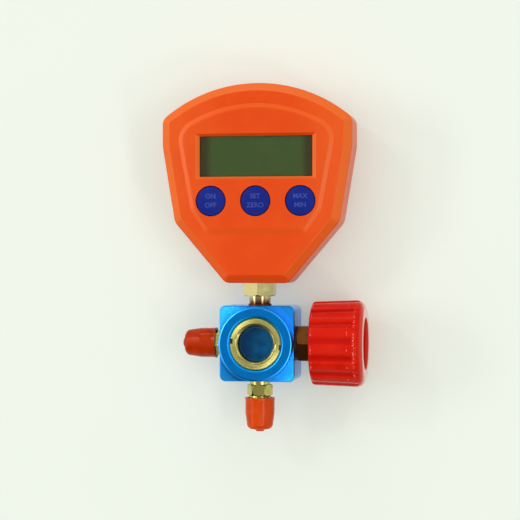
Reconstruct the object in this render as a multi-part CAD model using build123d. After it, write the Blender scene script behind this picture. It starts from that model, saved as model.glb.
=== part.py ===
from build123d import *
import math
import os

# A single-valve digital manifold gauge, standing upright with its face to -Y.
# Lengths are in millimetres. The origin is the centre of the block's flat back face.
# "Height" is measured up from the valve and port centre line, and "reach" from the
# same centre along one of the five directions that leave the block.

# ---- manifold block -------------------------------------------------------------
BLOCK_SIZE = 37.5
BLOCK_DEPTH = 30.0
BLOCK_CORNER = 2.8
BOSS_DIAMETER = 36.8
BOSS_HEIGHT = 5.5
BLOCK_EDGE_BREAK = 0.4
PASSAGE_RADIUS = 2.25
DRILL_POINT = 1.0        # length of the cone where a socket meets its drilling
CHAMBER_DEPTH = 2.5
BOTTOM_DRILLING_REACH = 4.0
SIGHT_HOLE_RADIUS = 1.75
SIGHT_HOLE_DROP = 5.8
BYPASS_RADIUS = 1.3
BYPASS_MARGIN = 0.2      # between the bypass and the valve chamber's wall

# ---- fits -----------------------------------------------------------------------
THREAD_GAP = 0.05        # radial gap that stands for a screwed joint
RUNNING_GAP = 0.06       # radial gap of a shaft that turns or slides
SEAT_GAP = 0.05          # end gap between stacked pieces
CUT_OVERRUN = 1.0        # how far a cut runs past the face it leaves by
HEX_CORNER_SLOPE = 0.6   # rise of a hexagon's turned-off corners for each millimetre inwards

# ---- pan-head screws, as shares of the head's own size ------------------------------
SCREW_HEAD_ROUND = 0.6
SCREW_CROSS_DEPTH = 0.6
SCREW_CROSS_LENGTH = 1.1
SCREW_CROSS_WIDTH = 0.3
SCREW_TIP_GAP = 0.4      # millimetres left below the screw's tip

# ---- sight glass ----------------------------------------------------------------
RING_DIAMETER = 25.5
RING_BORE = 18.0
RING_THICKNESS = 4.1
RING_SINK = 0.1
RING_BEVEL_WIDTH = 1.3
RING_BEVEL_DEPTH = 1.0
RING_SLOT_WIDTH = 2.5
RING_SLOT_DEPTH = 1.6
RING_SLOT_TURN = -7.0    # degrees from level
RING_COUNTERSINK = 0.7
GLASS_DIAMETER = 21.5
GLASS_THICKNESS = 3.5
GASKET_THICKNESS = 0.8
CHAMBER_DIAMETER = 16.4

# ---- hose ports, 1/4 inch SAE 45 degree flare, 7/16-20 thread ---------------------
PORT_HEX = 11.1          # across flats
PORT_HEX_LENGTH = 5.5
PORT_THREAD_RADIUS = 5.5
PORT_THREAD_LENGTH = 8.9
FLARE_ROOT_RADIUS = 4.6
FLARE_TIP_RADIUS = 2.9
FLARE_LENGTH = 2.4
PORT_BORE_RADIUS = 2.4
PORT_SHANK_RADIUS = 5.0
PORT_SHANK_LENGTH = 9.0
BOTTOM_PORT_NECK = 1.8
LEFT_PORT_NECK = 0.0
BOTTOM_PORT_TURN = 0.0   # degrees; where each fitting came to rest when screwed home
LEFT_PORT_TURN = 18.0

# ---- port caps, soft vinyl --------------------------------------------------------
CAP_RADIUS = 7.3
CAP_LENGTH = 15.6
CAP_END_WALL = 1.7
CAP_TAPER = 1.1          # how much smaller the closed end is
CAP_TAPER_LENGTH = 8.0
CAP_END_ROUND = 2.6
CAP_END_CROWN = 0.3
CAP_NUB_RADIUS = 2.1
CAP_NUB_LENGTH = 1.2
CAP_NUB_ROUND = 0.5
CAP_STEP_LENGTH = 0.8    # cone between the hexagon's bore and the thread's bore
CAP_MOUTH_RADIUS = 7.6
CAP_MOUTH_LENGTH = 1.6
CAP_GRIP_GAP = 0.08      # bore over the thread
CAP_HEX_GAP = 0.1
LEFT_CAP_OVER_HEX = 2.3
BOTTOM_CAP_FROM_HEX = 1.2

# ---- valve ------------------------------------------------------------------------
SEAT_REACH = 10.0
SEAT_LAND = 0.8          # width of the raised seat's flat, and of its sloping side
SEAT_RISE = 1.0
VALVE_CHAMBER_RADIUS = 6.5
BONNET_HEX = 17.0
BONNET_HEX_LENGTH = 8.5
BONNET_HEX_TURN = 30.0
BONNET_NECK_RADIUS = 7.0
BONNET_NECK_LENGTH = 5.0
BONNET_SHANK_RADIUS = 7.9
BONNET_SHANK_LENGTH = 6.0
BONNET_CUP_RADIUS = 6.0
BONNET_CUP_DEPTH = 6.2
BONNET_WASHER_THICKNESS = 0.8
STEM_THREAD_RADIUS = 4.2
STEM_THREAD_START = 15.6
STEM_THREAD_LENGTH = 7.0
STEM_RADIUS = 3.25
STEM_TIP_RADIUS = 2.4
STEM_TIP_DEPTH = 1.7
PACKING_RADIUS = 5.6
PACKING_DEPTH = 6.6
PACKING_LENGTH = 3.0
GLAND_FLANGE_RADIUS = 6.6
GLAND_FLANGE_LENGTH = 1.5
DISC_RADIUS = 4.6
DISC_THICKNESS = 2.0
DISC_HOLDER_RADIUS = 5.6
DISC_HOLDER_LENGTH = 3.7
DISC_CUP_DEPTH = 1.4
VALVE_LIFT = 3.75        # three turns of a 1.25 mm pitch stem

# ---- hand knob --------------------------------------------------------------------
KNOB_START = 26.7
KNOB_LENGTH = 26.4
KNOB_INNER_RADIUS = 20.8
KNOB_OUTER_RADIUS = 21.75
KNOB_SHOULDER = 4.6
KNOB_INNER_ROUND = 1.8
FLUTE_COUNT = 15
FLUTE_RADIUS = 5.2
FLUTE_DEPTH = 0.75
FLUTE_ROUND = 0.9        # where a flute meets the ridges beside it
RIDGE_CLEARANCE = 0.02   # the envelope that is turned off at the ends lies this far outside the ridges
RECESS_RADIUS = 12.85
RECESS_DEPTH = 9.0
KNOB_POCKET_RADIUS = 11.2
KNOB_POCKET_DEPTH = 10.8
KNOB_POCKET_CHAMFER = 1.0
RECESS_FLOOR_CHAMFER = 1.0
RECESS_MOUTH_CHAMFER = 0.5
KNOB_WEB_FLAT = 2.5      # flats on the stem's end, from its axis
KNOB_SCREW_HEAD_RADIUS = 3.6
KNOB_SCREW_HEAD_LENGTH = 2.4
KNOB_SCREW_RADIUS = 1.5
KNOB_SCREW_LENGTH = 7.0
KNOB_WASHER_RADIUS = 5.0
KNOB_WASHER_THICKNESS = 0.8

# ---- gauge stem -------------------------------------------------------------------
NECK_RADIUS = 5.4
NECK_LENGTH = 4.65
NECK_GROOVE_COUNT = 2    # thread relief at the neck's foot
NECK_GROOVE_PITCH = 0.95
NECK_GROOVE_WIDTH = 0.45
NECK_GROOVE_DEPTH = 0.4
STEM_HEX = 15.0
STEM_HEX_LENGTH = 6.6
STEM_HEX_TURN = 30.0
STEM_SHANK_RADIUS = 4.9
STEM_SHANK_LENGTH = 9.0
STEM_COLLAR_RADIUS = 6.0
STEM_COLLAR_PROUD = 0.5  # above the nut
STEM_BORE_RADIUS = 1.5
STEM_NUT_HEX = 16.0
STEM_NUT_THICKNESS = 3.5
STEM_WASHER_RADIUS = 5.8
STEM_WASHER_THICKNESS = 0.8
SENSOR_RADIUS = 8.0
SENSOR_HEIGHT = 5.5
SENSOR_RIM_WIDTH = 0.8
SENSOR_RIM_HEIGHT = 1.5
SENSOR_RIM_ROUND = 0.5
SENSOR_SPIGOT_RADIUS = 3.4
SENSOR_SPIGOT_LENGTH = 4.0
SENSOR_WASHER_THICKNESS = 0.6

# ---- head -------------------------------------------------------------------------
HEAD_WIDTH = 95.0
HEAD_HEIGHT = 98.8
HEAD_TOP_RADIUS = 73.0
SIDE_LENGTH = 13.4       # upright side between the top corner and the shoulder
KNEE_WIDTH = 82.6
KNEE_HEIGHT = 30.2
FOOT_WIDTH = 31.4
TOP_CORNER = 5.0
SHOULDER_BEND = 20.0
KNEE_ROUND = 7.0
FOOT_ROUND = 4.5
HEAD_FRONT = 13.5        # flat of the face, ahead of the port centre line
HEAD_REAR = 14.0
PARTING_BACK = 1.0       # parting line behind the port centre line
WALL = 2.2
FOOT_WALL = 4.0
FACE_BEVEL_WIDTH = 4.0
FACE_BEVEL_DEPTH = 3.0
FACE_ROUND = 1.2         # where the bevel meets the face and the side
REAR_BEVEL = 3.0
REAR_ROUND = 0.8
STEM_RIB_X = 11.5        # upright ribs that stiffen the foot on both sides of the stem
STEM_RIB_THICKNESS = 1.5
STEM_RIB_HEIGHT = 17.0
STEM_RIB_DEPTH = 8.0
LIP_THICKNESS = 1.0
LIP_HEIGHT = 1.5
LIP_GAP = 0.1
INNER_BEVEL = 2.4

# ---- raised panel, display opening ------------------------------------------------
PANEL_RISE = 1.0
PANEL_SLOPE = 2.4
PANEL_ROUND = 2.5        # rounding of the slope's upper edge
PANEL_TOP_MARGIN = 10.3  # below the head's top
PANEL_TOP_RADIUS = 68.0
PANEL_BOTTOM_DROP = 16.2 # below the buttons' centre line
PANEL_BOTTOM_WIDTH = 49.4
PANEL_KNEE_DROP = 4.5    # below the buttons' centre line
PANEL_KNEE_WIDTH = 65.0
PANEL_TOP_WIDTH = 79.6
PANEL_CORNER = 11.0
PANEL_KNEE_ROUND = 7.0
PANEL_FOOT_ROUND = 4.0
DISPLAY_DROP = 36.3      # display centre below the head's top
DISPLAY_OPENING = (56.2, 20.0)
DISPLAY_BEVEL = (2.05, 1.2)
DISPLAY_BEVEL_DEPTH = 1.5
WINDOW_SINK = 1.6
WINDOW_THICKNESS = 1.2
WINDOW_LAND = (3.2, 2.8) # how far the window reaches behind the opening's edge
POCKET_GAP = 0.2
LCD_MARGIN = 0.7         # the display glass is this much smaller than the window
LCD_THICKNESS = 2.0
BACKLIGHT_THICKNESS = 2.4
BACKLIGHT_MARGIN = 1.0
CONNECTOR_HEIGHT = 1.8
CONNECTOR_MARGIN = 3.0
CONNECTOR_GAP = 1.0      # between the connector strip and the backlight
FRAME_WALL = 1.0

# ---- buttons ----------------------------------------------------------------------
BUTTON_DROP = 22.0       # buttons' centre line below the display's centre
BUTTON_PITCH = 22.3
BUTTON_DIAMETER = 14.2
BUTTON_HOLE = 15.2
BUTTON_DOME = 0.5
BUTTON_PROUD = 0.1
BUTTON_FLANGE_DIAMETER = 17.0
BUTTON_FLANGE = 1.2
BUTTON_TRAVEL = 0.8
SWITCH_SIZE = 6.0
SWITCH_BODY = 2.0
SWITCH_WALL = 0.25
SWITCH_CORNER = 0.5
PLUNGER_RADIUS = 1.7

# ---- circuit board and case fixings -------------------------------------------------
BOARD_THICKNESS = 1.6
BOARD_MARGIN = 8.5
BOARD_FOOT = 18.5
BOARD_NOTCH_GAP = 0.5
BOSS_RADIUS = 3.5
UPPER_BOSS_X = 39.0
UPPER_BOSS_DROP = 26.8   # below the head's top
LOWER_BOSS_X = 20.5
LOWER_BOSS_DROP = 18.5   # below the buttons' centre line
CASE_SCREW_RADIUS = 1.25
CASE_SCREW_CLEARANCE = 0.3
CASE_SCREW_HEAD_RADIUS = 2.6
CASE_SCREW_HEAD_LENGTH = 1.8
CASE_SCREW_BITE = 9.0
CASE_SCREW_RECESS = 3.0
POST_RADIUS = 2.4
UPPER_POST_X = 28.0
UPPER_POST_DROP = 19.6   # below the head's top
LOWER_POST_X = 11.0
LOWER_POST_RISE = 26.0   # above the head's foot
BOARD_SCREW_RADIUS = 0.9
BOARD_SCREW_CLEARANCE = 0.2
BOARD_SCREW_HEAD_RADIUS = 2.0
BOARD_SCREW_HEAD_LENGTH = 1.2
BOARD_SCREW_BITE = 3.2
CHIP_RADIUS = 7.0
CHIP_HEIGHT = 1.8
CHIP_EDGE = 0.33         # height of the resin's upright edge, as a share of the drop's height
CHIP_SHOULDER = (0.7, 0.8)  # a point on the drop's curve, as shares of its radius and height
RIBBON_WIDTH = 7.0
RIBBON_THICKNESS = 0.3
RIBBON_BEND = 2.0
SOCKET_SIZE = (9.0, 3.0, 2.4)

# ---- batteries, two AAA -----------------------------------------------------------
CELL_RADIUS = 5.25
CELL_LENGTH = 43.6
CELL_NUB_RADIUS = 1.9
CELL_NUB_LENGTH = 0.9
CELL_DROP = 32.8         # centre of the two cells below the head's top
BAY_LENGTH = 52.0
BAY_GAP = 0.3
BAY_WALL = 1.2
BAY_SIDE_WALL = 3.2
DOOR_LEDGE = 3.0
DOOR_THICKNESS = 1.8
DOOR_GAP = 0.3
DOOR_SINK = 0.1
DOOR_PIN_RADIUS = 0.8
DOOR_PIN_LENGTH = 1.8
DOOR_TONGUE = (10.0, 1.0, 1.8)
DOOR_TONGUE_DROP = 0.6    # below the top of the battery bay
SCOOP_RADIUS = 7.0
SCOOP_DEPTH = 1.4
GRIP_COUNT = 3
GRIP_PITCH = 2.4
GRIP_SIZE = (14.0, 0.8)
GRIP_DEPTH = 0.5
CONTACT_THICKNESS = 0.4
CONTACT_SIZE = 8.5
SPRING_WIRE = 0.35
SPRING_RADIUS = 3.4
SPRING_TURNS = 3

# ---- places that follow from the sizes ----------------------------------------------
PORT_Y = -BLOCK_DEPTH / 2
HALF_BLOCK = BLOCK_SIZE / 2
BOSS_FACE = BLOCK_DEPTH / 2                    # reach forward of the boss face
RING_FACE = BOSS_FACE - RING_SINK
GLASS_FACE = RING_FACE - RING_THICKNESS
GLASS_BACK = GLASS_FACE - GLASS_THICKNESS
GASKET_BACK = GLASS_BACK - GASKET_THICKNESS
CHAMBER_FLOOR = GASKET_BACK - CHAMBER_DEPTH
HEAD_FOOT = HALF_BLOCK + NECK_LENGTH + STEM_HEX_LENGTH
FLAT_Y = PORT_Y - HEAD_FRONT
PANEL_Y = FLAT_Y - PANEL_RISE
INNER_Y = FLAT_Y + WALL
PARTING_Y = PORT_Y + PARTING_BACK
REAR_Y = PORT_Y + HEAD_REAR
WINDOW_Y = PANEL_Y + WINDOW_SINK
LCD_Y = WINDOW_Y + WINDOW_THICKNESS + SEAT_GAP
BACKLIGHT_Y = LCD_Y + LCD_THICKNESS + SEAT_GAP
BOARD_Y = BACKLIGHT_Y + BACKLIGHT_THICKNESS + SEAT_GAP
BOARD_BACK_Y = BOARD_Y + BOARD_THICKNESS
HEAD_TOP = HEAD_FOOT + HEAD_HEIGHT
DISPLAY_Z = HEAD_TOP - DISPLAY_DROP
BUTTON_Z = DISPLAY_Z - BUTTON_DROP
BUTTON_FLANGE_Y = INNER_Y + SEAT_GAP
SWITCH_Y = BOARD_Y - SWITCH_BODY
CELL_Z = HEAD_TOP - CELL_DROP
DOOR_Y = REAR_Y - DOOR_SINK                    # outer face of the battery door
DOOR_AXIS_Y = DOOR_Y - DOOR_THICKNESS / 2
CELL_Y = DOOR_Y - DOOR_THICKNESS - BAY_GAP - CELL_RADIUS
BAY_FLOOR_Y = CELL_Y - CELL_RADIUS - BAY_GAP
BAY_HALF_HEIGHT = 2 * CELL_RADIUS + 1.5 * BAY_GAP
RECESS_HALF_WIDTH = BAY_LENGTH / 2 + DOOR_LEDGE
RECESS_HALF_HEIGHT = BAY_HALF_HEIGHT + DOOR_LEDGE
DOOR_AXIS_Z = CELL_Z - RECESS_HALF_HEIGHT + DOOR_GAP + DOOR_THICKNESS / 2
DOOR_BACK_Y = DOOR_Y - DOOR_THICKNESS
WINDOW_SIZE = [opening + 2 * land for opening, land in zip(DISPLAY_OPENING, WINDOW_LAND)]
LCD_SIZE = [size - 2 * LCD_MARGIN for size in WINDOW_SIZE]
PLUNGER_END_Y = BOARD_Y - SWITCH_WALL - BUTTON_TRAVEL - SEAT_GAP
SOCKET_Z = HEAD_FOOT + BOARD_FOOT + SOCKET_SIZE[1]
FRONT, REAR = 0, -1
RIM_SLACK = 0.01         # how near a rim must lie to the depth it is looked for at
CAP_BORE = PORT_THREAD_RADIUS + CAP_GRIP_GAP
BONNET_START = HALF_BLOCK + BONNET_WASHER_THICKNESS
BONNET_END = BONNET_START + BONNET_HEX_LENGTH + BONNET_NECK_LENGTH
DISC_START = SEAT_REACH + SEAT_GAP
HOLDER_END = DISC_START + DISC_THICKNESS + SEAT_GAP - DISC_CUP_DEPTH + DISC_HOLDER_LENGTH
WEB_START = KNOB_START + KNOB_POCKET_DEPTH
WEB_END = KNOB_START + KNOB_LENGTH - RECESS_DEPTH
STEM_TOP = HEAD_FOOT + FOOT_WALL + STEM_NUT_THICKNESS + STEM_COLLAR_PROUD
SENSOR_FOOT = STEM_TOP + SENSOR_WASHER_THICKNESS
BUTTON_COLUMNS = {"left": -BUTTON_PITCH, "middle": 0.0, "right": BUTTON_PITCH}
PILLARS = [
    (side * x, z)
    for x, z in ((UPPER_BOSS_X, HEAD_TOP - UPPER_BOSS_DROP), (LOWER_BOSS_X, BUTTON_Z - LOWER_BOSS_DROP))
    for side in (-1, 1)
]
POSTS = [
    (side * x, z)
    for x, z in ((UPPER_POST_X, HEAD_TOP - UPPER_POST_DROP), (LOWER_POST_X, HEAD_FOOT + LOWER_POST_RISE))
    for side in (-1, 1)
]

# Each frame's own +Y runs away from the block's centre; profiles are drawn in its X and Y.
CENTRE = (0, PORT_Y, 0)
UP = Plane(CENTRE, x_dir=(1, 0, 0), z_dir=(0, -1, 0))
DOWN = Plane(CENTRE, x_dir=(1, 0, 0), z_dir=(0, 1, 0))
LEFT = Plane(CENTRE, x_dir=(0, 0, 1), z_dir=(0, -1, 0))
RIGHT = Plane(CENTRE, x_dir=(0, 0, -1), z_dir=(0, -1, 0))
FORWARD = Plane(CENTRE, x_dir=(1, 0, 0), z_dir=(0, 0, -1))


# ---- ways of making shapes -----------------------------------------------------------
def turned(direction, corners, rounds=()):
    """A body of revolution leaving the block: corners are (radius, reach), rounds are (corner, radius)."""
    profile = make_face(Polyline(*corners, close=True))
    for corner, radius in rounds:
        profile = fillet(nearest_corner(profile, corner), radius)
    return direction * revolve(profile, Axis.Y)


def nearest_corner(face, corner):
    return min(face.vertices(), key=lambda v: math.dist((v.X, v.Y), corner))


def disc(direction, radius, start, end, bore=0.0):
    """A plain cylinder or, with a bore, a ring."""
    return turned(direction, [(bore, start), (radius, start), (radius, end), (bore, end)])


def hexagon(direction, across_flats, start, end, chamfers=(True, True), turn=0.0):
    """A hexagonal prism whose corners are turned off at the chosen ends."""
    flat = across_flats / 2
    corner = flat / math.cos(math.radians(30))
    drop = (corner - flat) * HEX_CORNER_SLOPE
    sketch = Rot(0, 0, turn) * RegularPolygon(flat, 6, major_radius=False)
    level = Plane((0, start, 0), x_dir=(1, 0, 0), z_dir=(0, 1, 0))
    prism = extrude(level * sketch, amount=end - start)
    low = start + (drop if chamfers[0] else 0.0)
    high = end - (drop if chamfers[1] else 0.0)
    envelope = [(0, start), (flat if chamfers[0] else corner, start), (corner, low)]
    envelope += [(corner, high), (flat if chamfers[1] else corner, end), (0, end)]
    envelope = [p for i, p in enumerate(envelope) if p not in envelope[:i]]
    return direction * (prism & revolve(make_face(Polyline(*envelope, close=True)), Axis.Y))


def slab(sketch, front, back):
    """A front-view sketch (X, Z) made solid between two depths in Y."""
    return extrude(Plane.XZ.offset(-back) * sketch, amount=back - front)


def rod(x, z, radius, front, back):
    return slab(Pos(x, z) * Circle(radius), front, back)


def bar(width, height, x, z, front, back, corner=0.0):
    sketch = RectangleRounded(width, height, corner) if corner else Rectangle(width, height)
    return slab(Pos(x, z) * sketch, front, back)


def frustum(sketch, front, back, growth):
    """A front-view sketch at the back that grows by an even margin towards the front."""
    wide = offset(sketch, amount=growth)
    return loft([Plane.XZ.offset(-back) * sketch, Plane.XZ.offset(-front) * wide])


def arch_spring(top, radius, width):
    """The height at which an arch of this radius and top meets sides this far apart."""
    return top - radius + math.sqrt(radius ** 2 - (width / 2) ** 2)


def shield(top, top_radius, top_width, levels, rounds):
    """A symmetrical outline: levels are (width, height) from the foot up, under an arched top."""
    corner = (top_width / 2, arch_spring(top, top_radius, top_width))
    right = [(width / 2, height) for width, height in levels] + [corner]
    left = [(-x, height) for x, height in reversed(right)]
    edges = [Line(a, b) for a, b in zip(right, right[1:])]
    edges.append(ThreePointArc(corner, (0, top), left[0]))
    edges += [Line(a, b) for a, b in zip(left, left[1:])]
    edges.append(Line(left[-1], right[0]))
    face = make_face(edges)
    for (x, height), radius in zip(right, rounds):
        face = fillet([nearest_corner(face, (x, height)), nearest_corner(face, (-x, height))], radius)
    return face


# ---- manifold block ---------------------------------------------------------------------
def manifold_block():
    """A square block with a round boss on its face, drilled from five sides."""
    boss_back = PORT_Y - BOSS_FACE + BOSS_HEIGHT
    body = slab(RectangleRounded(BLOCK_SIZE, BLOCK_SIZE, BLOCK_CORNER), boss_back, 0)
    body = chamfer(body.faces().sort_by(Axis.Y)[0].edges(), BLOCK_EDGE_BREAK)
    body = chamfer(body.faces().sort_by(Axis.Y)[-1].edges(), BLOCK_EDGE_BREAK)
    boss = disc(FORWARD, BOSS_DIAMETER / 2, 0, BOSS_FACE)
    boss = chamfer(boss.faces().sort_by(Axis.Y)[0].edges(), BLOCK_EDGE_BREAK)
    solid = body + boss
    ring_hole = RING_DIAMETER / 2 + THREAD_GAP
    glass_hole = GLASS_DIAMETER / 2 + THREAD_GAP
    solid -= turned(FORWARD, [
        (0, CHAMBER_FLOOR),
        (CHAMBER_DIAMETER / 2, CHAMBER_FLOOR),
        (CHAMBER_DIAMETER / 2, GASKET_BACK),
        (glass_hole, GASKET_BACK),
        (glass_hole, GLASS_FACE - SEAT_GAP),
        (ring_hole, GLASS_FACE - SEAT_GAP),
        (ring_hole, BOSS_FACE - RING_COUNTERSINK),
        (ring_hole + RING_COUNTERSINK, BOSS_FACE),
        (0, BOSS_FACE),
    ])
    solid -= port_hole(LEFT, PORT_SHANK_RADIUS, PORT_SHANK_LENGTH, 0)
    solid -= port_hole(DOWN, PORT_SHANK_RADIUS, PORT_SHANK_LENGTH - BOTTOM_PORT_NECK, BOTTOM_DRILLING_REACH)
    solid -= port_hole(UP, STEM_SHANK_RADIUS, STEM_SHANK_LENGTH, 0)
    solid -= valve_hole()
    hole_z = -SIGHT_HOLE_DROP
    solid -= rod(0, hole_z, SIGHT_HOLE_RADIUS, PORT_Y - CHAMBER_FLOOR, PORT_Y)
    return solid


def port_hole(direction, shank_radius, shank_length, drilling_end):
    """A threaded socket for a fitting, with a drilling on to the passage in the middle."""
    socket_end = HALF_BLOCK - shank_length - SEAT_GAP
    socket = shank_radius + THREAD_GAP
    lead_in = BLOCK_EDGE_BREAK
    return turned(direction, [
        (0, drilling_end),
        (PASSAGE_RADIUS, drilling_end),
        (PASSAGE_RADIUS, socket_end - DRILL_POINT),
        (socket, socket_end),
        (socket, HALF_BLOCK - lead_in),
        (socket + lead_in, HALF_BLOCK),
        (0, HALF_BLOCK),
    ])


def valve_hole():
    """The bonnet's threaded hole, the valve chamber with its raised seat, and the bypass to the sight glass."""
    socket_end = HALF_BLOCK - BONNET_SHANK_LENGTH - SEAT_GAP
    socket = BONNET_SHANK_RADIUS + THREAD_GAP
    seat_floor = SEAT_REACH - SEAT_RISE
    hole = turned(RIGHT, [
        (0, 0),
        (PASSAGE_RADIUS, 0),
        (PASSAGE_RADIUS, SEAT_REACH),
        (PASSAGE_RADIUS + SEAT_LAND, SEAT_REACH),
        (PASSAGE_RADIUS + 2 * SEAT_LAND, seat_floor),
        (VALVE_CHAMBER_RADIUS, seat_floor),
        (VALVE_CHAMBER_RADIUS, socket_end),
        (socket, socket_end),
        (socket, HALF_BLOCK - BLOCK_EDGE_BREAK),
        (socket + BLOCK_EDGE_BREAK, HALF_BLOCK),
        (0, HALF_BLOCK),
    ])
    bypass_y = PORT_Y - VALVE_CHAMBER_RADIUS + BYPASS_RADIUS + BYPASS_MARGIN
    bypass = Plane((0, bypass_y, 0), x_dir=(0, 1, 0), z_dir=(1, 0, 0)) * Circle(BYPASS_RADIUS)
    return hole + extrude(bypass, amount=SEAT_REACH)


# ---- sight glass ------------------------------------------------------------------------
def sight_glass_ring():
    """The threaded brass retaining ring, bevelled inside, with two spanner slots."""
    outer = RING_DIAMETER / 2
    bore = RING_BORE / 2
    ring = turned(FORWARD, [
        (bore, GLASS_FACE + SEAT_GAP),
        (outer, GLASS_FACE + SEAT_GAP),
        (outer, RING_FACE - BLOCK_EDGE_BREAK),
        (outer - BLOCK_EDGE_BREAK, RING_FACE),
        (bore + RING_BEVEL_WIDTH, RING_FACE),
        (bore, RING_FACE - RING_BEVEL_DEPTH),
    ])
    slot = Rot(0, 0, RING_SLOT_TURN) * Rectangle(2 * RING_DIAMETER, RING_SLOT_WIDTH)
    slots = slab(slot, PORT_Y - BOSS_FACE, PORT_Y - RING_FACE + RING_SLOT_DEPTH)
    return ring - slots


def sight_glass():
    glass = disc(FORWARD, GLASS_DIAMETER / 2, GLASS_BACK, GLASS_FACE)
    return chamfer(glass.edges().filter_by(GeomType.CIRCLE), BLOCK_EDGE_BREAK)


def sight_glass_gasket():
    return disc(FORWARD, GLASS_DIAMETER / 2, GASKET_BACK, GLASS_BACK, CHAMBER_DIAMETER / 2)


# ---- hose ports ---------------------------------------------------------------------------
def hose_port(direction, neck, turn):
    """A brass flare fitting: threaded shank, hexagon, thread and 45 degree nose round one bore."""
    hex_start = HALF_BLOCK + neck
    hex_end = hex_start + PORT_HEX_LENGTH
    thread_end = hex_end + PORT_THREAD_LENGTH
    tip = thread_end + FLARE_LENGTH
    flats = hexagon(direction, PORT_HEX, hex_start, hex_end, turn=turn)
    barrel = turned(direction, [
        (0, HALF_BLOCK + neck - PORT_SHANK_LENGTH),
        (PORT_SHANK_RADIUS, HALF_BLOCK + neck - PORT_SHANK_LENGTH),
        (PORT_SHANK_RADIUS, hex_end),
        (PORT_THREAD_RADIUS, hex_end),
        (PORT_THREAD_RADIUS, thread_end),
        (FLARE_ROOT_RADIUS, thread_end),
        (FLARE_TIP_RADIUS, tip),
        (0, tip),
    ])
    bore = disc(direction, PORT_BORE_RADIUS, 0, tip)
    return flats + barrel - bore


def port_cap(direction, mouth):
    """A dipped vinyl cap: flared open mouth, slight taper, rounded closed end with a nub."""
    shoulder = mouth + CAP_MOUTH_LENGTH
    end = mouth + CAP_LENGTH
    small = CAP_RADIUS - CAP_TAPER
    hex_corner = PORT_HEX / 2 / math.cos(math.radians(30))
    mouth_bore = hex_corner + CAP_HEX_GAP
    step = mouth + LEFT_CAP_OVER_HEX + CAP_HEX_GAP
    return turned(direction, [
        (mouth_bore, mouth),
        (CAP_MOUTH_RADIUS, mouth),
        (CAP_RADIUS, shoulder),
        (CAP_RADIUS, end - CAP_TAPER_LENGTH),
        (small, end),
        (CAP_NUB_RADIUS, end + CAP_END_CROWN),
        (CAP_NUB_RADIUS, end + CAP_NUB_LENGTH),
        (0, end + CAP_NUB_LENGTH),
        (0, end - CAP_END_WALL),
        (CAP_BORE, end - CAP_END_WALL),
        (CAP_BORE, step + CAP_STEP_LENGTH),
        (mouth_bore, step),
    ], rounds=[((small, end), CAP_END_ROUND), ((CAP_NUB_RADIUS, end + CAP_NUB_LENGTH), CAP_NUB_ROUND)])


# ---- valve ----------------------------------------------------------------------------------
def valve_bonnet():
    """The brass bonnet: shank with a cup for the disc, internal thread, hexagon and packing neck."""
    shank_start = HALF_BLOCK - BONNET_SHANK_LENGTH
    thread_start = shank_start + BONNET_CUP_DEPTH
    packing_start = BONNET_END - PACKING_DEPTH
    flats = hexagon(RIGHT, BONNET_HEX, BONNET_START, BONNET_START + BONNET_HEX_LENGTH,
                    turn=BONNET_HEX_TURN)
    barrel = disc(RIGHT, BONNET_SHANK_RADIUS, shank_start, BONNET_START)
    neck = turned(RIGHT, [
        (0, BONNET_START),
        (BONNET_NECK_RADIUS, BONNET_START),
        (BONNET_NECK_RADIUS, BONNET_END - BLOCK_EDGE_BREAK),
        (BONNET_NECK_RADIUS - BLOCK_EDGE_BREAK, BONNET_END),
        (0, BONNET_END),
    ])
    hollow = turned(RIGHT, [
        (0, shank_start),
        (BONNET_CUP_RADIUS, shank_start),
        (BONNET_CUP_RADIUS, thread_start),
        (STEM_THREAD_RADIUS + THREAD_GAP, thread_start),
        (STEM_THREAD_RADIUS + THREAD_GAP, packing_start),
        (PACKING_RADIUS + THREAD_GAP, packing_start),
        (PACKING_RADIUS + THREAD_GAP, BONNET_END),
        (0, BONNET_END),
    ])
    return flats + barrel + neck - hollow


def bonnet_washer():
    return disc(RIGHT, BONNET_HEX / 2, HALF_BLOCK, BONNET_START, BONNET_SHANK_RADIUS + THREAD_GAP)


def stem_packing():
    """The soft ring that seals the stem, squeezed by the gland."""
    start = BONNET_END - PACKING_DEPTH + SEAT_GAP
    return disc(RIGHT, PACKING_RADIUS, start, start + PACKING_LENGTH, STEM_RADIUS + RUNNING_GAP)


def packing_gland():
    start = BONNET_END - PACKING_DEPTH + PACKING_LENGTH + 2 * SEAT_GAP
    bore = STEM_RADIUS + RUNNING_GAP
    return turned(RIGHT, [
        (bore, start),
        (PACKING_RADIUS, start),
        (PACKING_RADIUS, BONNET_END),
        (GLAND_FLANGE_RADIUS, BONNET_END),
        (GLAND_FLANGE_RADIUS, BONNET_END + GLAND_FLANGE_LENGTH),
        (bore, BONNET_END + GLAND_FLANGE_LENGTH),
    ])


def valve_disc():
    """The soft disc that closes on the raised seat; it moves along the stem's line without turning."""
    return disc(RIGHT, DISC_RADIUS, DISC_START, DISC_START + DISC_THICKNESS)


def disc_holder():
    """The brass cup behind the disc, with a socket for the stem's tip."""
    cup_floor = DISC_START + DISC_THICKNESS + SEAT_GAP
    front = cup_floor - DISC_CUP_DEPTH
    return turned(RIGHT, [
        (0, cup_floor),
        (DISC_RADIUS + THREAD_GAP, cup_floor),
        (DISC_RADIUS + THREAD_GAP, front),
        (DISC_HOLDER_RADIUS, front),
        (DISC_HOLDER_RADIUS, HOLDER_END),
        (STEM_TIP_RADIUS + RUNNING_GAP, HOLDER_END),
        (STEM_TIP_RADIUS + RUNNING_GAP, HOLDER_END - STEM_TIP_DEPTH),
        (0, HOLDER_END - STEM_TIP_DEPTH),
    ])


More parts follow.
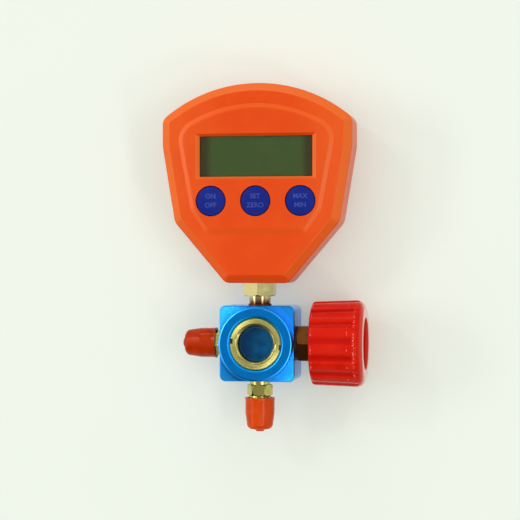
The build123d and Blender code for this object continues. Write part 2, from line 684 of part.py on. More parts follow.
def valve_stem():
    """The stem: tip in the disc holder, threaded length, plain shank, and two flats that drive it."""
    thread_end = STEM_THREAD_START + STEM_THREAD_LENGTH
    stem = turned(RIGHT, [
        (0, HOLDER_END - STEM_TIP_DEPTH + SEAT_GAP),
        (STEM_TIP_RADIUS, HOLDER_END - STEM_TIP_DEPTH + SEAT_GAP),
        (STEM_TIP_RADIUS, STEM_THREAD_START),
        (STEM_THREAD_RADIUS, STEM_THREAD_START),
        (STEM_THREAD_RADIUS, thread_end),
        (STEM_RADIUS, thread_end),
        (STEM_RADIUS, WEB_END - SEAT_GAP),
        (0, WEB_END - SEAT_GAP),
    ])
    stem -= stem_flats(WEB_START - SEAT_GAP, WEB_END)
    screw_hole = KNOB_SCREW_RADIUS + THREAD_GAP
    return stem - disc(RIGHT, screw_hole, WEB_END - KNOB_SCREW_LENGTH - SEAT_GAP, WEB_END)


def stem_flats(start, end, margin=0.0):
    """What two parallel flats take off the stem between two reaches."""
    cheek = STEM_RADIUS - KNOB_WEB_FLAT + CUT_OVERRUN
    middle = KNOB_WEB_FLAT + margin + cheek / 2
    size = (end - start, 4 * STEM_RADIUS, cheek)
    along = (start + end) / 2
    return Pos(along, PORT_Y, middle) * Box(*size) + Pos(along, PORT_Y, -middle) * Box(*size)


# ---- hand knob --------------------------------------------------------------------------------
def hand_knob():
    """A drafted, fluted hand wheel: pocket over the bonnet, driving web, open recess at its outer end."""
    end = KNOB_START + KNOB_LENGTH
    body = loft([knob_section(KNOB_START, KNOB_INNER_RADIUS), knob_section(end, KNOB_OUTER_RADIUS)], ruled=True)
    inner_edge = (KNOB_INNER_RADIUS + RIDGE_CLEARANCE, KNOB_START)
    shoulder = (KNOB_OUTER_RADIUS + RIDGE_CLEARANCE, end)
    envelope = [(0, KNOB_START), inner_edge, shoulder, (0, end)]
    body &= turned(RIGHT, envelope, rounds=[(inner_edge, KNOB_INNER_ROUND), (shoulder, KNOB_SHOULDER)])
    body -= turned(RIGHT, [
        (0, KNOB_START),
        (KNOB_POCKET_RADIUS + KNOB_POCKET_CHAMFER, KNOB_START),
        (KNOB_POCKET_RADIUS, KNOB_START + KNOB_POCKET_CHAMFER),
        (KNOB_POCKET_RADIUS, WEB_START),
        (0, WEB_START),
    ])
    body -= turned(RIGHT, [
        (0, WEB_END),
        (RECESS_RADIUS - RECESS_FLOOR_CHAMFER, WEB_END),
        (RECESS_RADIUS, WEB_END + RECESS_FLOOR_CHAMFER),
        (RECESS_RADIUS, end - RECESS_MOUTH_CHAMFER),
        (RECESS_RADIUS + RECESS_MOUTH_CHAMFER, end),
        (0, end),
    ])
    bore = disc(RIGHT, STEM_RADIUS + THREAD_GAP, WEB_START, WEB_END)
    return body - (bore - stem_flats(WEB_START, WEB_END, THREAD_GAP))


def knob_section(reach, radius):
    """The fluted outline at one reach: ridges between shallow round flutes, softened where they meet."""
    section = Sketch() + Circle(radius)
    flute = Pos(0, radius - FLUTE_DEPTH + FLUTE_RADIUS) * Circle(FLUTE_RADIUS)
    for index in range(FLUTE_COUNT):
        section -= Rot(0, 0, (index + 0.5) * 360 / FLUTE_COUNT) * flute
    section = fillet(section.vertices(), FLUTE_ROUND)
    return Plane((reach, PORT_Y, 0), x_dir=(0, 1, 0), z_dir=(1, 0, 0)) * section


def knob_washer():
    bore = KNOB_SCREW_RADIUS + THREAD_GAP
    return disc(RIGHT, KNOB_WASHER_RADIUS, WEB_END, WEB_END + KNOB_WASHER_THICKNESS, bore)


def knob_screw():
    """A pan-head screw with a cross recess, holding the knob on the stem."""
    seat = WEB_END + KNOB_WASHER_THICKNESS
    return screw(RIGHT, seat, KNOB_SCREW_RADIUS, KNOB_SCREW_LENGTH, KNOB_SCREW_HEAD_RADIUS,
                 KNOB_SCREW_HEAD_LENGTH)


def screw(direction, seat, radius, length, head_radius, head_length):
    """A pan-head screw whose head sits on the reach `seat` and whose shank points back down it."""
    top = seat + head_length
    body = turned(direction, [
        (0, seat - length),
        (radius, seat - length),
        (radius, seat),
        (head_radius, seat),
        (head_radius, top),
        (0, top),
    ], rounds=[((head_radius, top), head_length * SCREW_HEAD_ROUND)])
    arm = (head_radius * SCREW_CROSS_LENGTH, head_radius * SCREW_CROSS_WIDTH)
    cross = Rectangle(*arm) + Rectangle(*reversed(arm))
    level = Plane((0, top, 0), x_dir=(1, 0, 0), z_dir=(0, 1, 0))
    return body - direction * extrude(level * cross, amount=-head_length * SCREW_CROSS_DEPTH)


# ---- gauge stem -----------------------------------------------------------------------------
def gauge_stem():
    """The brass stem that carries the head: threaded shank, grooved neck, hexagon and a drilled collar."""
    shank = HALF_BLOCK - STEM_SHANK_LENGTH
    neck_start = HALF_BLOCK + STEM_WASHER_THICKNESS
    hex_start = HALF_BLOCK + NECK_LENGTH
    spigot = SENSOR_SPIGOT_RADIUS + THREAD_GAP
    flats = hexagon(UP, STEM_HEX, hex_start, HEAD_FOOT, chamfers=(True, False), turn=STEM_HEX_TURN)
    barrel = turned(UP, [
        (0, shank),
        (STEM_SHANK_RADIUS, shank),
        (STEM_SHANK_RADIUS, neck_start),
        (NECK_RADIUS, neck_start),
        (NECK_RADIUS, hex_start),
        (STEM_COLLAR_RADIUS, hex_start),
        (STEM_COLLAR_RADIUS, STEM_TOP),
        (0, STEM_TOP),
    ])
    bore = turned(UP, [
        (0, shank),
        (STEM_BORE_RADIUS, shank),
        (STEM_BORE_RADIUS, STEM_TOP - SENSOR_SPIGOT_LENGTH - DRILL_POINT),
        (spigot, STEM_TOP - SENSOR_SPIGOT_LENGTH - SEAT_GAP),
        (spigot, STEM_TOP),
        (0, STEM_TOP),
    ])
    body = flats + barrel - bore
    for index in range(NECK_GROOVE_COUNT):
        start = neck_start + NECK_GROOVE_PITCH * (index + 0.5)
        end = start + NECK_GROOVE_WIDTH
        body -= disc(UP, NECK_RADIUS + CUT_OVERRUN, start, end, NECK_RADIUS - NECK_GROOVE_DEPTH)
    return body


def stem_washer():
    bore = STEM_SHANK_RADIUS + THREAD_GAP
    return disc(UP, STEM_WASHER_RADIUS, HALF_BLOCK, HALF_BLOCK + STEM_WASHER_THICKNESS, bore)


def stem_nut():
    """The nut inside the head that clamps both covers down on the stem's hexagon."""
    start = HEAD_FOOT + FOOT_WALL
    nut = hexagon(UP, STEM_NUT_HEX, start, start + STEM_NUT_THICKNESS, turn=STEM_HEX_TURN)
    return nut - disc(UP, STEM_COLLAR_RADIUS + THREAD_GAP, start, start + STEM_NUT_THICKNESS)


def sensor_washer():
    return disc(UP, STEM_COLLAR_RADIUS, STEM_TOP, SENSOR_FOOT, SENSOR_SPIGOT_RADIUS + THREAD_GAP)


def pressure_sensor():
    """The pressure cell: a steel can on a threaded spigot with a fine bore."""
    top = SENSOR_FOOT + SENSOR_HEIGHT
    body = turned(UP, [
        (0, STEM_TOP - SENSOR_SPIGOT_LENGTH),
        (SENSOR_SPIGOT_RADIUS, STEM_TOP - SENSOR_SPIGOT_LENGTH),
        (SENSOR_SPIGOT_RADIUS, SENSOR_FOOT),
        (SENSOR_RADIUS, SENSOR_FOOT),
        (SENSOR_RADIUS, top - SENSOR_RIM_HEIGHT),
        (SENSOR_RADIUS - SENSOR_RIM_WIDTH, top - SENSOR_RIM_HEIGHT),
        (SENSOR_RADIUS - SENSOR_RIM_WIDTH, top),
        (0, top),
    ], rounds=[((SENSOR_RADIUS - SENSOR_RIM_WIDTH, top), SENSOR_RIM_ROUND)])
    return body - disc(UP, STEM_BORE_RADIUS, STEM_TOP - SENSOR_SPIGOT_LENGTH, SENSOR_FOOT)


# ---- head covers -------------------------------------------------------------------------------
def head_outline():
    """Narrow foot, flaring sides, a short upright side and an arched top."""
    shoulder = arch_spring(HEAD_TOP, HEAD_TOP_RADIUS, HEAD_WIDTH) - SIDE_LENGTH
    levels = [(FOOT_WIDTH, HEAD_FOOT), (KNEE_WIDTH, HEAD_FOOT + KNEE_HEIGHT), (HEAD_WIDTH, shoulder)]
    rounds = [FOOT_ROUND, KNEE_ROUND, SHOULDER_BEND, TOP_CORNER]
    return shield(HEAD_TOP, HEAD_TOP_RADIUS, HEAD_WIDTH, levels, rounds)


def panel_outline():
    """The raised panel round the display and buttons, roughly following the head's outline."""
    bottom = (PANEL_BOTTOM_WIDTH, BUTTON_Z - PANEL_BOTTOM_DROP)
    knee = (PANEL_KNEE_WIDTH, BUTTON_Z - PANEL_KNEE_DROP)
    rounds = [PANEL_FOOT_ROUND, PANEL_KNEE_ROUND, PANEL_CORNER]
    return shield(HEAD_TOP - PANEL_TOP_MARGIN, PANEL_TOP_RADIUS, PANEL_TOP_WIDTH, [bottom, knee], rounds)


def cavity_outline():
    """The inside of the side wall, closed below by the thicker foot that the stem passes through."""
    inside = offset(head_outline(), amount=-WALL)
    above_foot = Pos(0, HEAD_FOOT + FOOT_WALL + HEAD_HEIGHT) * Rectangle(2 * HEAD_WIDTH, 2 * HEAD_HEIGHT)
    return inside & above_foot


def stem_hole():
    end = HEAD_FOOT + FOOT_WALL + CUT_OVERRUN
    return disc(UP, STEM_COLLAR_RADIUS + THREAD_GAP, HEAD_FOOT - CUT_OVERRUN, end)


def lip_band(outer_inset, inner_inset):
    """A band that runs round just inside the head's outline."""
    return offset(head_outline(), amount=-outer_inset) - offset(head_outline(), amount=-inner_inset)


def bevelled(solid, end, width, depth):
    """The solid with the rim of its front (0) or rear (-1) face cut back at a slope."""
    face = solid.faces().sort_by(Axis.Y)[end]
    return chamfer(face.edges(), length=width, length2=depth, reference=face)


def softened(solid, y, radius):
    """The solid with the rim that lies at this depth rounded."""
    rim = solid.edges().filter_by_position(Axis.Y, y - RIM_SLACK, y + RIM_SLACK)
    return fillet(rim, radius)


def front_cover():
    """The front half of the moulded head: raised panel, openings, stem ribs, screw pillars and board posts."""
    shell = bevelled(slab(head_outline(), FLAT_Y, PARTING_Y), FRONT, FACE_BEVEL_WIDTH, FACE_BEVEL_DEPTH)
    shell = softened(shell, FLAT_Y + FACE_BEVEL_DEPTH, FACE_ROUND)
    shell = softened(shell, FLAT_Y, FACE_ROUND)
    shell -= bevelled(slab(cavity_outline(), INNER_Y, PARTING_Y), FRONT, INNER_BEVEL, INNER_BEVEL)
    shell += softened(frustum(panel_outline(), PANEL_Y, FLAT_Y, -PANEL_SLOPE), PANEL_Y, PANEL_ROUND)
    rib_height = HEAD_FOOT + STEM_RIB_HEIGHT / 2
    for side in (-1, 1):
        shell += bar(STEM_RIB_THICKNESS, STEM_RIB_HEIGHT - FOOT_WALL, side * STEM_RIB_X,
                     rib_height + FOOT_WALL / 2, INNER_Y - WALL / 2, INNER_Y + STEM_RIB_DEPTH)
    case_screw_hole = PARTING_Y - CASE_SCREW_BITE - SCREW_TIP_GAP
    for x, z in PILLARS:
        shell += rod(x, z, BOSS_RADIUS, FLAT_Y + WALL / 2, PARTING_Y)
        shell -= rod(x, z, CASE_SCREW_RADIUS + THREAD_GAP, case_screw_hole, PARTING_Y)
    board_screw_hole = BOARD_Y - BOARD_SCREW_BITE - SCREW_TIP_GAP
    for x, z in POSTS:
        shell += rod(x, z, POST_RADIUS, FLAT_Y + WALL / 2, BOARD_Y)
        shell -= rod(x, z, BOARD_SCREW_RADIUS + THREAD_GAP, board_screw_hole, BOARD_Y)
    shell -= display_opening()
    for x in BUTTON_COLUMNS.values():
        shell -= rod(x, BUTTON_Z, BUTTON_HOLE / 2, PANEL_Y, INNER_Y)
    groove = lip_band(WALL - LIP_THICKNESS - LIP_GAP, WALL + LIP_GAP)
    shell -= slab(groove, PARTING_Y - LIP_HEIGHT - LIP_GAP, PARTING_Y)
    return shell - stem_hole()


def display_opening():
    """The bevelled opening over the display and the pocket behind it that takes the window."""
    width, height = DISPLAY_OPENING
    side, over = DISPLAY_BEVEL
    wide = Pos(0, DISPLAY_Z) * Rectangle(width + 2 * side, height + 2 * over)
    narrow = Pos(0, DISPLAY_Z) * Rectangle(width, height)
    bevel_y = PANEL_Y + DISPLAY_BEVEL_DEPTH
    bevel = loft([Plane.XZ.offset(-bevel_y) * narrow, Plane.XZ.offset(-PANEL_Y) * wide])
    pocket = [size + 2 * POCKET_GAP for size in WINDOW_SIZE]
    return bevel + slab(narrow, bevel_y, INNER_Y) + bar(*pocket, 0, DISPLAY_Z, WINDOW_Y, INNER_Y)


def rear_cover():
    """The rear half of the head: battery bay with a hinge for its door, screw pillars and locating lip."""
    shell = bevelled(slab(head_outline(), PARTING_Y, REAR_Y), REAR, REAR_BEVEL, REAR_BEVEL)
    shell = softened(shell, REAR_Y - REAR_BEVEL, REAR_ROUND)
    shell = softened(shell, REAR_Y, REAR_ROUND)
    shell -= bevelled(slab(cavity_outline(), PARTING_Y, REAR_Y - WALL), REAR, INNER_BEVEL, INNER_BEVEL)
    housing = (2 * (RECESS_HALF_WIDTH + BAY_SIDE_WALL), 2 * (RECESS_HALF_HEIGHT + BAY_WALL))
    shell += bar(*housing, 0, CELL_Z, BAY_FLOOR_Y - BAY_WALL, REAR_Y)
    shell -= bar(2 * RECESS_HALF_WIDTH, 2 * RECESS_HALF_HEIGHT, 0, CELL_Z, DOOR_BACK_Y - SEAT_GAP, REAR_Y)
    shell -= bar(BAY_LENGTH, 2 * BAY_HALF_HEIGHT, 0, CELL_Z, BAY_FLOOR_Y, REAR_Y)
    shell -= along_x(DOOR_PIN_RADIUS + RUNNING_GAP, 2 * (RECESS_HALF_WIDTH + DOOR_PIN_LENGTH + DOOR_GAP),
                     DOOR_AXIS_Y, DOOR_AXIS_Z)
    shell -= finger_scoop()
    for x, z in PILLARS:
        shell += rod(x, z, BOSS_RADIUS, PARTING_Y, REAR_Y - WALL / 2)
        shell -= rod(x, z, CASE_SCREW_RADIUS + CASE_SCREW_CLEARANCE, PARTING_Y, REAR_Y)
        head_hole = CASE_SCREW_HEAD_RADIUS + CASE_SCREW_CLEARANCE
        shell -= rod(x, z, head_hole, REAR_Y - CASE_SCREW_RECESS, REAR_Y)
    shell += slab(lip_band(WALL - LIP_THICKNESS, WALL), PARTING_Y - LIP_HEIGHT, PARTING_Y)
    return shell - stem_hole()


def along_x(radius, length, y, z):
    """A rod along X, centred on the gauge's middle plane."""
    return Pos(0, y, z) * Rot(0, 90, 0) * Cylinder(radius, length)


def finger_scoop():
    """A shallow thumb hollow above the battery door."""
    lift = SCOOP_RADIUS - SCOOP_DEPTH
    return Pos(0, REAR_Y + lift, CELL_Z + RECESS_HALF_HEIGHT) * Sphere(SCOOP_RADIUS)


def battery_door():
    """A flat door that swings on two pins along its rounded lower edge, with a tongue under the bay's top."""
    width = 2 * (RECESS_HALF_WIDTH - DOOR_GAP)
    top = CELL_Z + RECESS_HALF_HEIGHT - DOOR_GAP
    height = top - DOOR_AXIS_Z
    door = bar(width, height, 0, DOOR_AXIS_Z + height / 2, DOOR_BACK_Y, DOOR_Y)
    door += along_x(DOOR_THICKNESS / 2, width, DOOR_AXIS_Y, DOOR_AXIS_Z)
    door += along_x(DOOR_PIN_RADIUS, 2 * (RECESS_HALF_WIDTH + DOOR_PIN_LENGTH), DOOR_AXIS_Y, DOOR_AXIS_Z)
    tongue_width, tongue, reach = DOOR_TONGUE
    tongue_z = CELL_Z + BAY_HALF_HEIGHT - DOOR_TONGUE_DROP - tongue / 2
    door += bar(tongue_width, tongue, 0, tongue_z, DOOR_BACK_Y - reach, DOOR_BACK_Y)
    for index in range(GRIP_COUNT):
        z = top - GRIP_PITCH * (index + 1.5)
        door -= bar(*GRIP_SIZE, 0, z, DOOR_Y - GRIP_DEPTH, DOOR_Y)
    return door


def case_screws():
    """The four long screws that hold the covers together, heads sunk in the rear cover."""
    seat = REAR_Y - CASE_SCREW_RECESS
    length = seat - PARTING_Y + CASE_SCREW_BITE
    return Part() + [
        screw(backward(x, z), seat, CASE_SCREW_RADIUS, length, CASE_SCREW_HEAD_RADIUS, CASE_SCREW_HEAD_LENGTH)
        for x, z in PILLARS
    ]


def backward(x, z):
    """A frame at (x, z) whose own +Y runs to the rear, with its reach equal to Y."""
    return Plane((x, 0, z), x_dir=(1, 0, 0), z_dir=(0, 0, 1))


def forward(x, z):
    """A frame at (x, z) whose own +Y runs to the front, with its reach equal to minus Y."""
    return Plane((x, 0, z), x_dir=(1, 0, 0), z_dir=(0, 0, -1))


# ---- display ------------------------------------------------------------------------------------
def display_window():
    return bar(*WINDOW_SIZE, 0, DISPLAY_Z, WINDOW_Y, WINDOW_Y + WINDOW_THICKNESS)


def lcd_panel():
    return bar(*LCD_SIZE, 0, DISPLAY_Z, LCD_Y, LCD_Y + LCD_THICKNESS)


def lcd_frame():
    """The black frame that holds the display glass and its backlight to the board."""
    inner = [size + 2 * RUNNING_GAP for size in LCD_SIZE]
    outer = [size + 2 * FRAME_WALL for size in inner]
    front = INNER_Y + SEAT_GAP
    return bar(*outer, 0, DISPLAY_Z, front, BOARD_Y) - bar(*inner, 0, DISPLAY_Z, front, BOARD_Y)


def backlight():
    """The light guide behind the glass, above the connector strip."""
    width, height = LCD_SIZE
    strip = CONNECTOR_HEIGHT + CONNECTOR_GAP
    size = (width - 2 * BACKLIGHT_MARGIN, height - strip)
    return bar(*size, 0, DISPLAY_Z + strip / 2, BACKLIGHT_Y, BOARD_Y - SEAT_GAP)


def display_connector():
    """The rubber contact strip between the glass's lower edge and the board."""
    width, height = LCD_SIZE
    z = DISPLAY_Z - height / 2 + CONNECTOR_HEIGHT / 2 + SEAT_GAP
    return bar(width - 2 * CONNECTOR_MARGIN, CONNECTOR_HEIGHT, 0, z, LCD_Y + LCD_THICKNESS, BOARD_Y)


# ---- circuit board --------------------------------------------------------------------------------
def circuit_board():
    """A board that follows the head's outline, notched round the screw pillars."""
    above = Pos(0, HEAD_FOOT + BOARD_FOOT + HEAD_HEIGHT) * Rectangle(2 * HEAD_WIDTH, 2 * HEAD_HEIGHT)
    outline = offset(head_outline(), amount=-BOARD_MARGIN) & above
    for x, z in PILLARS:
        outline -= Pos(x, z) * Circle(BOSS_RADIUS + BOARD_NOTCH_GAP)
    for x, z in POSTS:
        outline -= Pos(x, z) * Circle(BOARD_SCREW_RADIUS + BOARD_SCREW_CLEARANCE)
    return slab(outline, BOARD_Y, BOARD_BACK_Y)


def board_screws():
    length = BOARD_THICKNESS + BOARD_SCREW_BITE
    return Part() + [
        screw(backward(x, z), BOARD_BACK_Y, BOARD_SCREW_RADIUS, length, BOARD_SCREW_HEAD_RADIUS,
              BOARD_SCREW_HEAD_LENGTH)
        for x, z in POSTS
    ]


def control_chip():
    """The chip under its drop of black resin, on the back of the board."""
    level = Plane((0, BOARD_BACK_Y, BUTTON_Z), x_dir=(1, 0, 0), z_dir=(0, 0, 1))
    edge = (CHIP_RADIUS, CHIP_HEIGHT * CHIP_EDGE)
    middle = (CHIP_RADIUS * CHIP_SHOULDER[0], CHIP_HEIGHT * CHIP_SHOULDER[1])
    profile = [Polyline((0, CHIP_HEIGHT), (0, 0), (CHIP_RADIUS, 0), edge)]
    profile.append(Spline(edge, middle, (0, CHIP_HEIGHT), tangents=[(0, 1), (-1, 0)]))
    return level * revolve(make_face(profile), Axis.Y)


def ribbon_socket():
    width, height, depth = SOCKET_SIZE
    return bar(width, height, 0, SOCKET_Z, BOARD_BACK_Y, BOARD_BACK_Y + depth)


def sensor_ribbon():
    """The flat cable from the top of the pressure sensor to the socket on the board."""
    start = SENSOR_FOOT + SENSOR_HEIGHT
    end = SOCKET_Z - SOCKET_SIZE[1] / 2
    socket_y = BOARD_BACK_Y + SOCKET_SIZE[2] / 2
    rise = (end - start) / 3
    path = FilletPolyline(
        (PORT_Y, start), (PORT_Y, start + rise), (socket_y, end - rise), (socket_y, end), radius=RIBBON_BEND
    )
    strip = trace(path, line_width=RIBBON_THICKNESS)
    return Pos(-RIBBON_WIDTH / 2, 0, 0) * extrude(Plane.YZ * strip, amount=RIBBON_WIDTH)


# ---- buttons --------------------------------------------------------------------------------------
def button(x):
    """A round key with a slightly domed face, kept in by a flange behind the cover."""
    radius = BUTTON_DIAMETER / 2
    flange = BUTTON_FLANGE_DIAMETER / 2
    back = -(BUTTON_FLANGE_Y + BUTTON_FLANGE)
    shoulder = -BUTTON_FLANGE_Y
    rim = -PANEL_Y + BUTTON_PROUD - BUTTON_DOME
    crown = -PANEL_Y + BUTTON_PROUD
    dome_radius = (radius ** 2 + BUTTON_DOME ** 2) / (2 * BUTTON_DOME)
    half_angle = math.asin(radius / dome_radius) / 2
    on_dome = (dome_radius * math.sin(half_angle), crown - dome_radius * (1 - math.cos(half_angle)))
    side = [(0, crown), (0, back), (flange, back), (flange, shoulder), (radius, shoulder), (radius, rim)]
    profile = make_face([Polyline(*side), ThreePointArc((radius, rim), on_dome, (0, crown))])
    return forward(x, BUTTON_Z) * revolve(profile, Axis.Y)


def switch_plunger(x):
    """The moving stub of a push switch, pressed by the back of its button."""
    return rod(x, BUTTON_Z, PLUNGER_RADIUS, BUTTON_FLANGE_Y + BUTTON_FLANGE, PLUNGER_END_Y)


def switch_housings():
    """The three switch bodies on the board, each open for its plunger."""
    housings = Part()
    for x in BUTTON_COLUMNS.values():
        body = bar(SWITCH_SIZE, SWITCH_SIZE, x, BUTTON_Z, SWITCH_Y, BOARD_Y, SWITCH_CORNER)
        housings += body - rod(x, BUTTON_Z, PLUNGER_RADIUS + RUNNING_GAP, SWITCH_Y, BOARD_Y - SWITCH_WALL)
    return housings


# ---- batteries --------------------------------------------------------------------------------------
def cell_places():
    """Each cell's height and the side, +1 or -1, that its positive end points to."""
    rise = CELL_RADIUS + BAY_GAP / 2
    return [(CELL_Z + rise, 1), (CELL_Z - rise, -1)]


def battery_cells():
    cells = Part()
    nub_end = BAY_LENGTH / 2 - CONTACT_THICKNESS - SEAT_GAP
    body_end = nub_end - CELL_NUB_LENGTH
    for z, side in cell_places():
        body = along_x(CELL_RADIUS, CELL_LENGTH, CELL_Y, z)
        body = chamfer(body.edges().filter_by(GeomType.CIRCLE), BLOCK_EDGE_BREAK)
        nub = along_x(CELL_NUB_RADIUS, CELL_NUB_LENGTH, CELL_Y, z)
        cells += Pos(side * (body_end - CELL_LENGTH / 2), 0, 0) * body
        cells += Pos(side * (nub_end - CELL_NUB_LENGTH / 2), 0, 0) * nub
    return cells


def battery_contacts():
    """One plate that joins the two cells and two separate plates at the other end."""
    x = (BAY_LENGTH - CONTACT_THICKNESS) / 2
    rise = cell_places()[0][0] - CELL_Z
    shared = Pos(x, CELL_Y, CELL_Z) * Box(CONTACT_THICKNESS, CONTACT_SIZE, CONTACT_SIZE + 2 * rise)
    single = Box(CONTACT_THICKNESS, CONTACT_SIZE, CONTACT_SIZE)
    return Part() + [shared] + [Pos(-x, CELL_Y, z) * single for z, _ in cell_places()]


def battery_springs():
    """The coil springs at the flat end of each cell."""
    start = BAY_LENGTH / 2 - CONTACT_THICKNESS - SEAT_GAP
    cell_end = start - CELL_NUB_LENGTH - CELL_LENGTH
    length = start + cell_end - SEAT_GAP
    rise = length - 2 * SPRING_WIRE
    coil = Helix(rise / SPRING_TURNS, rise, SPRING_RADIUS)
    section = Plane(origin=coil @ 0, z_dir=coil % 0) * Circle(SPRING_WIRE)
    spring = sweep(section, path=coil)
    springs = Part()
    for z, side in cell_places():
        springs += Pos(-side * (start - SPRING_WIRE), CELL_Y, z) * Rot(0, side * 90, 0) * spring
    return springs


# ---- the whole gauge ---------------------------------------------------------------------------------
def all_parts():
    left_hex_end = HALF_BLOCK + LEFT_PORT_NECK + PORT_HEX_LENGTH
    bottom_hex_end = HALF_BLOCK + BOTTOM_PORT_NECK + PORT_HEX_LENGTH
    parts = {
        "manifold_block": manifold_block(),
        "sight_glass_ring": sight_glass_ring(),
        "sight_glass": sight_glass(),
        "sight_glass_gasket": sight_glass_gasket(),
        "left_port": hose_port(LEFT, LEFT_PORT_NECK, LEFT_PORT_TURN),
        "bottom_port": hose_port(DOWN, BOTTOM_PORT_NECK, BOTTOM_PORT_TURN),
        "left_port_cap": port_cap(LEFT, left_hex_end - LEFT_CAP_OVER_HEX),
        "bottom_port_cap": port_cap(DOWN, bottom_hex_end + BOTTOM_CAP_FROM_HEX),
        "valve_bonnet": valve_bonnet(),
        "bonnet_washer": bonnet_washer(),
        "stem_packing": stem_packing(),
        "packing_gland": packing_gland(),
        "valve_disc": valve_disc(),
        "disc_holder": disc_holder(),
        "valve_stem": valve_stem(),
        "hand_knob": hand_knob(),
        "knob_washer": knob_washer(),
        "knob_screw": knob_screw(),
        "gauge_stem": gauge_stem(),
        "stem_washer": stem_washer(),
        "stem_nut": stem_nut(),
        "pressure_sensor": pressure_sensor(),
        "sensor_washer": sensor_washer(),
        "sensor_ribbon": sensor_ribbon(),
        "ribbon_socket": ribbon_socket(),
        "front_cover": front_cover(),
        "rear_cover": rear_cover(),
        "battery_door": battery_door(),
        "case_screws": case_screws(),
        "display_window": display_window(),
        "lcd_panel": lcd_panel(),
        "lcd_frame": lcd_frame(),
        "backlight": backlight(),
        "display_connector": display_connector(),
        "circuit_board": circuit_board(),
        "board_screws": board_screws(),
        "control_chip": control_chip(),
        "switch_housings": switch_housings(),
        "battery_cells": battery_cells(),
        "battery_contacts": battery_contacts(),
        "battery_springs": battery_springs(),
    }
    for name, x in BUTTON_COLUMNS.items():
        parts[f"{name}_button"] = button(x)
        parts[f"{name}_switch_plunger"] = switch_plunger(x)
    return parts


os.makedirs("parts", exist_ok=True)
for node, solid in all_parts().items():
    export_step(solid, f"parts/{node}.step")
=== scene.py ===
"""The finish of a single-valve digital manifold gauge, laid face-on against a pale bench.

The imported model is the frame: every place is read from it. Lengths are in metres, +Z is up and the face
looks along -Y.
"""

import math

import bpy
import numpy as np
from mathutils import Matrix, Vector


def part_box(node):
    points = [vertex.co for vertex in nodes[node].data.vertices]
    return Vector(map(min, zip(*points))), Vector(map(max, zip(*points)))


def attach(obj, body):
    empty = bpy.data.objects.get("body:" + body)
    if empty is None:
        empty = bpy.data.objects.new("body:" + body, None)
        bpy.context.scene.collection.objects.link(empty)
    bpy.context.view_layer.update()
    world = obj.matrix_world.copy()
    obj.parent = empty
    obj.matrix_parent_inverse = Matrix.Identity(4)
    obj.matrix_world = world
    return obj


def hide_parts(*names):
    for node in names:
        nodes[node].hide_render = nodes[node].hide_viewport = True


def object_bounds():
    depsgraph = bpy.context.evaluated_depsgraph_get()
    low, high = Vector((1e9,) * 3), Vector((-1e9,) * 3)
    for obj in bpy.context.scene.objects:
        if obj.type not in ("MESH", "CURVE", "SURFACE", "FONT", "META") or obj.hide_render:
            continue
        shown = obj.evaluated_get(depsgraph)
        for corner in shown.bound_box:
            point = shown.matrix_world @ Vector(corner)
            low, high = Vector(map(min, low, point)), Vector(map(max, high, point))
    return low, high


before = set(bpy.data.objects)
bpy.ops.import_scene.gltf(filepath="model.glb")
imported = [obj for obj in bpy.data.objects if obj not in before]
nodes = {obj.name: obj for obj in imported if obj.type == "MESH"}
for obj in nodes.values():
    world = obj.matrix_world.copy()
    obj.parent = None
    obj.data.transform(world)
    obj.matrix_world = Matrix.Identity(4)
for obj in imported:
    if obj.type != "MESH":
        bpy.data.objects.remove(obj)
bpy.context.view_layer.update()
mm = 0.001


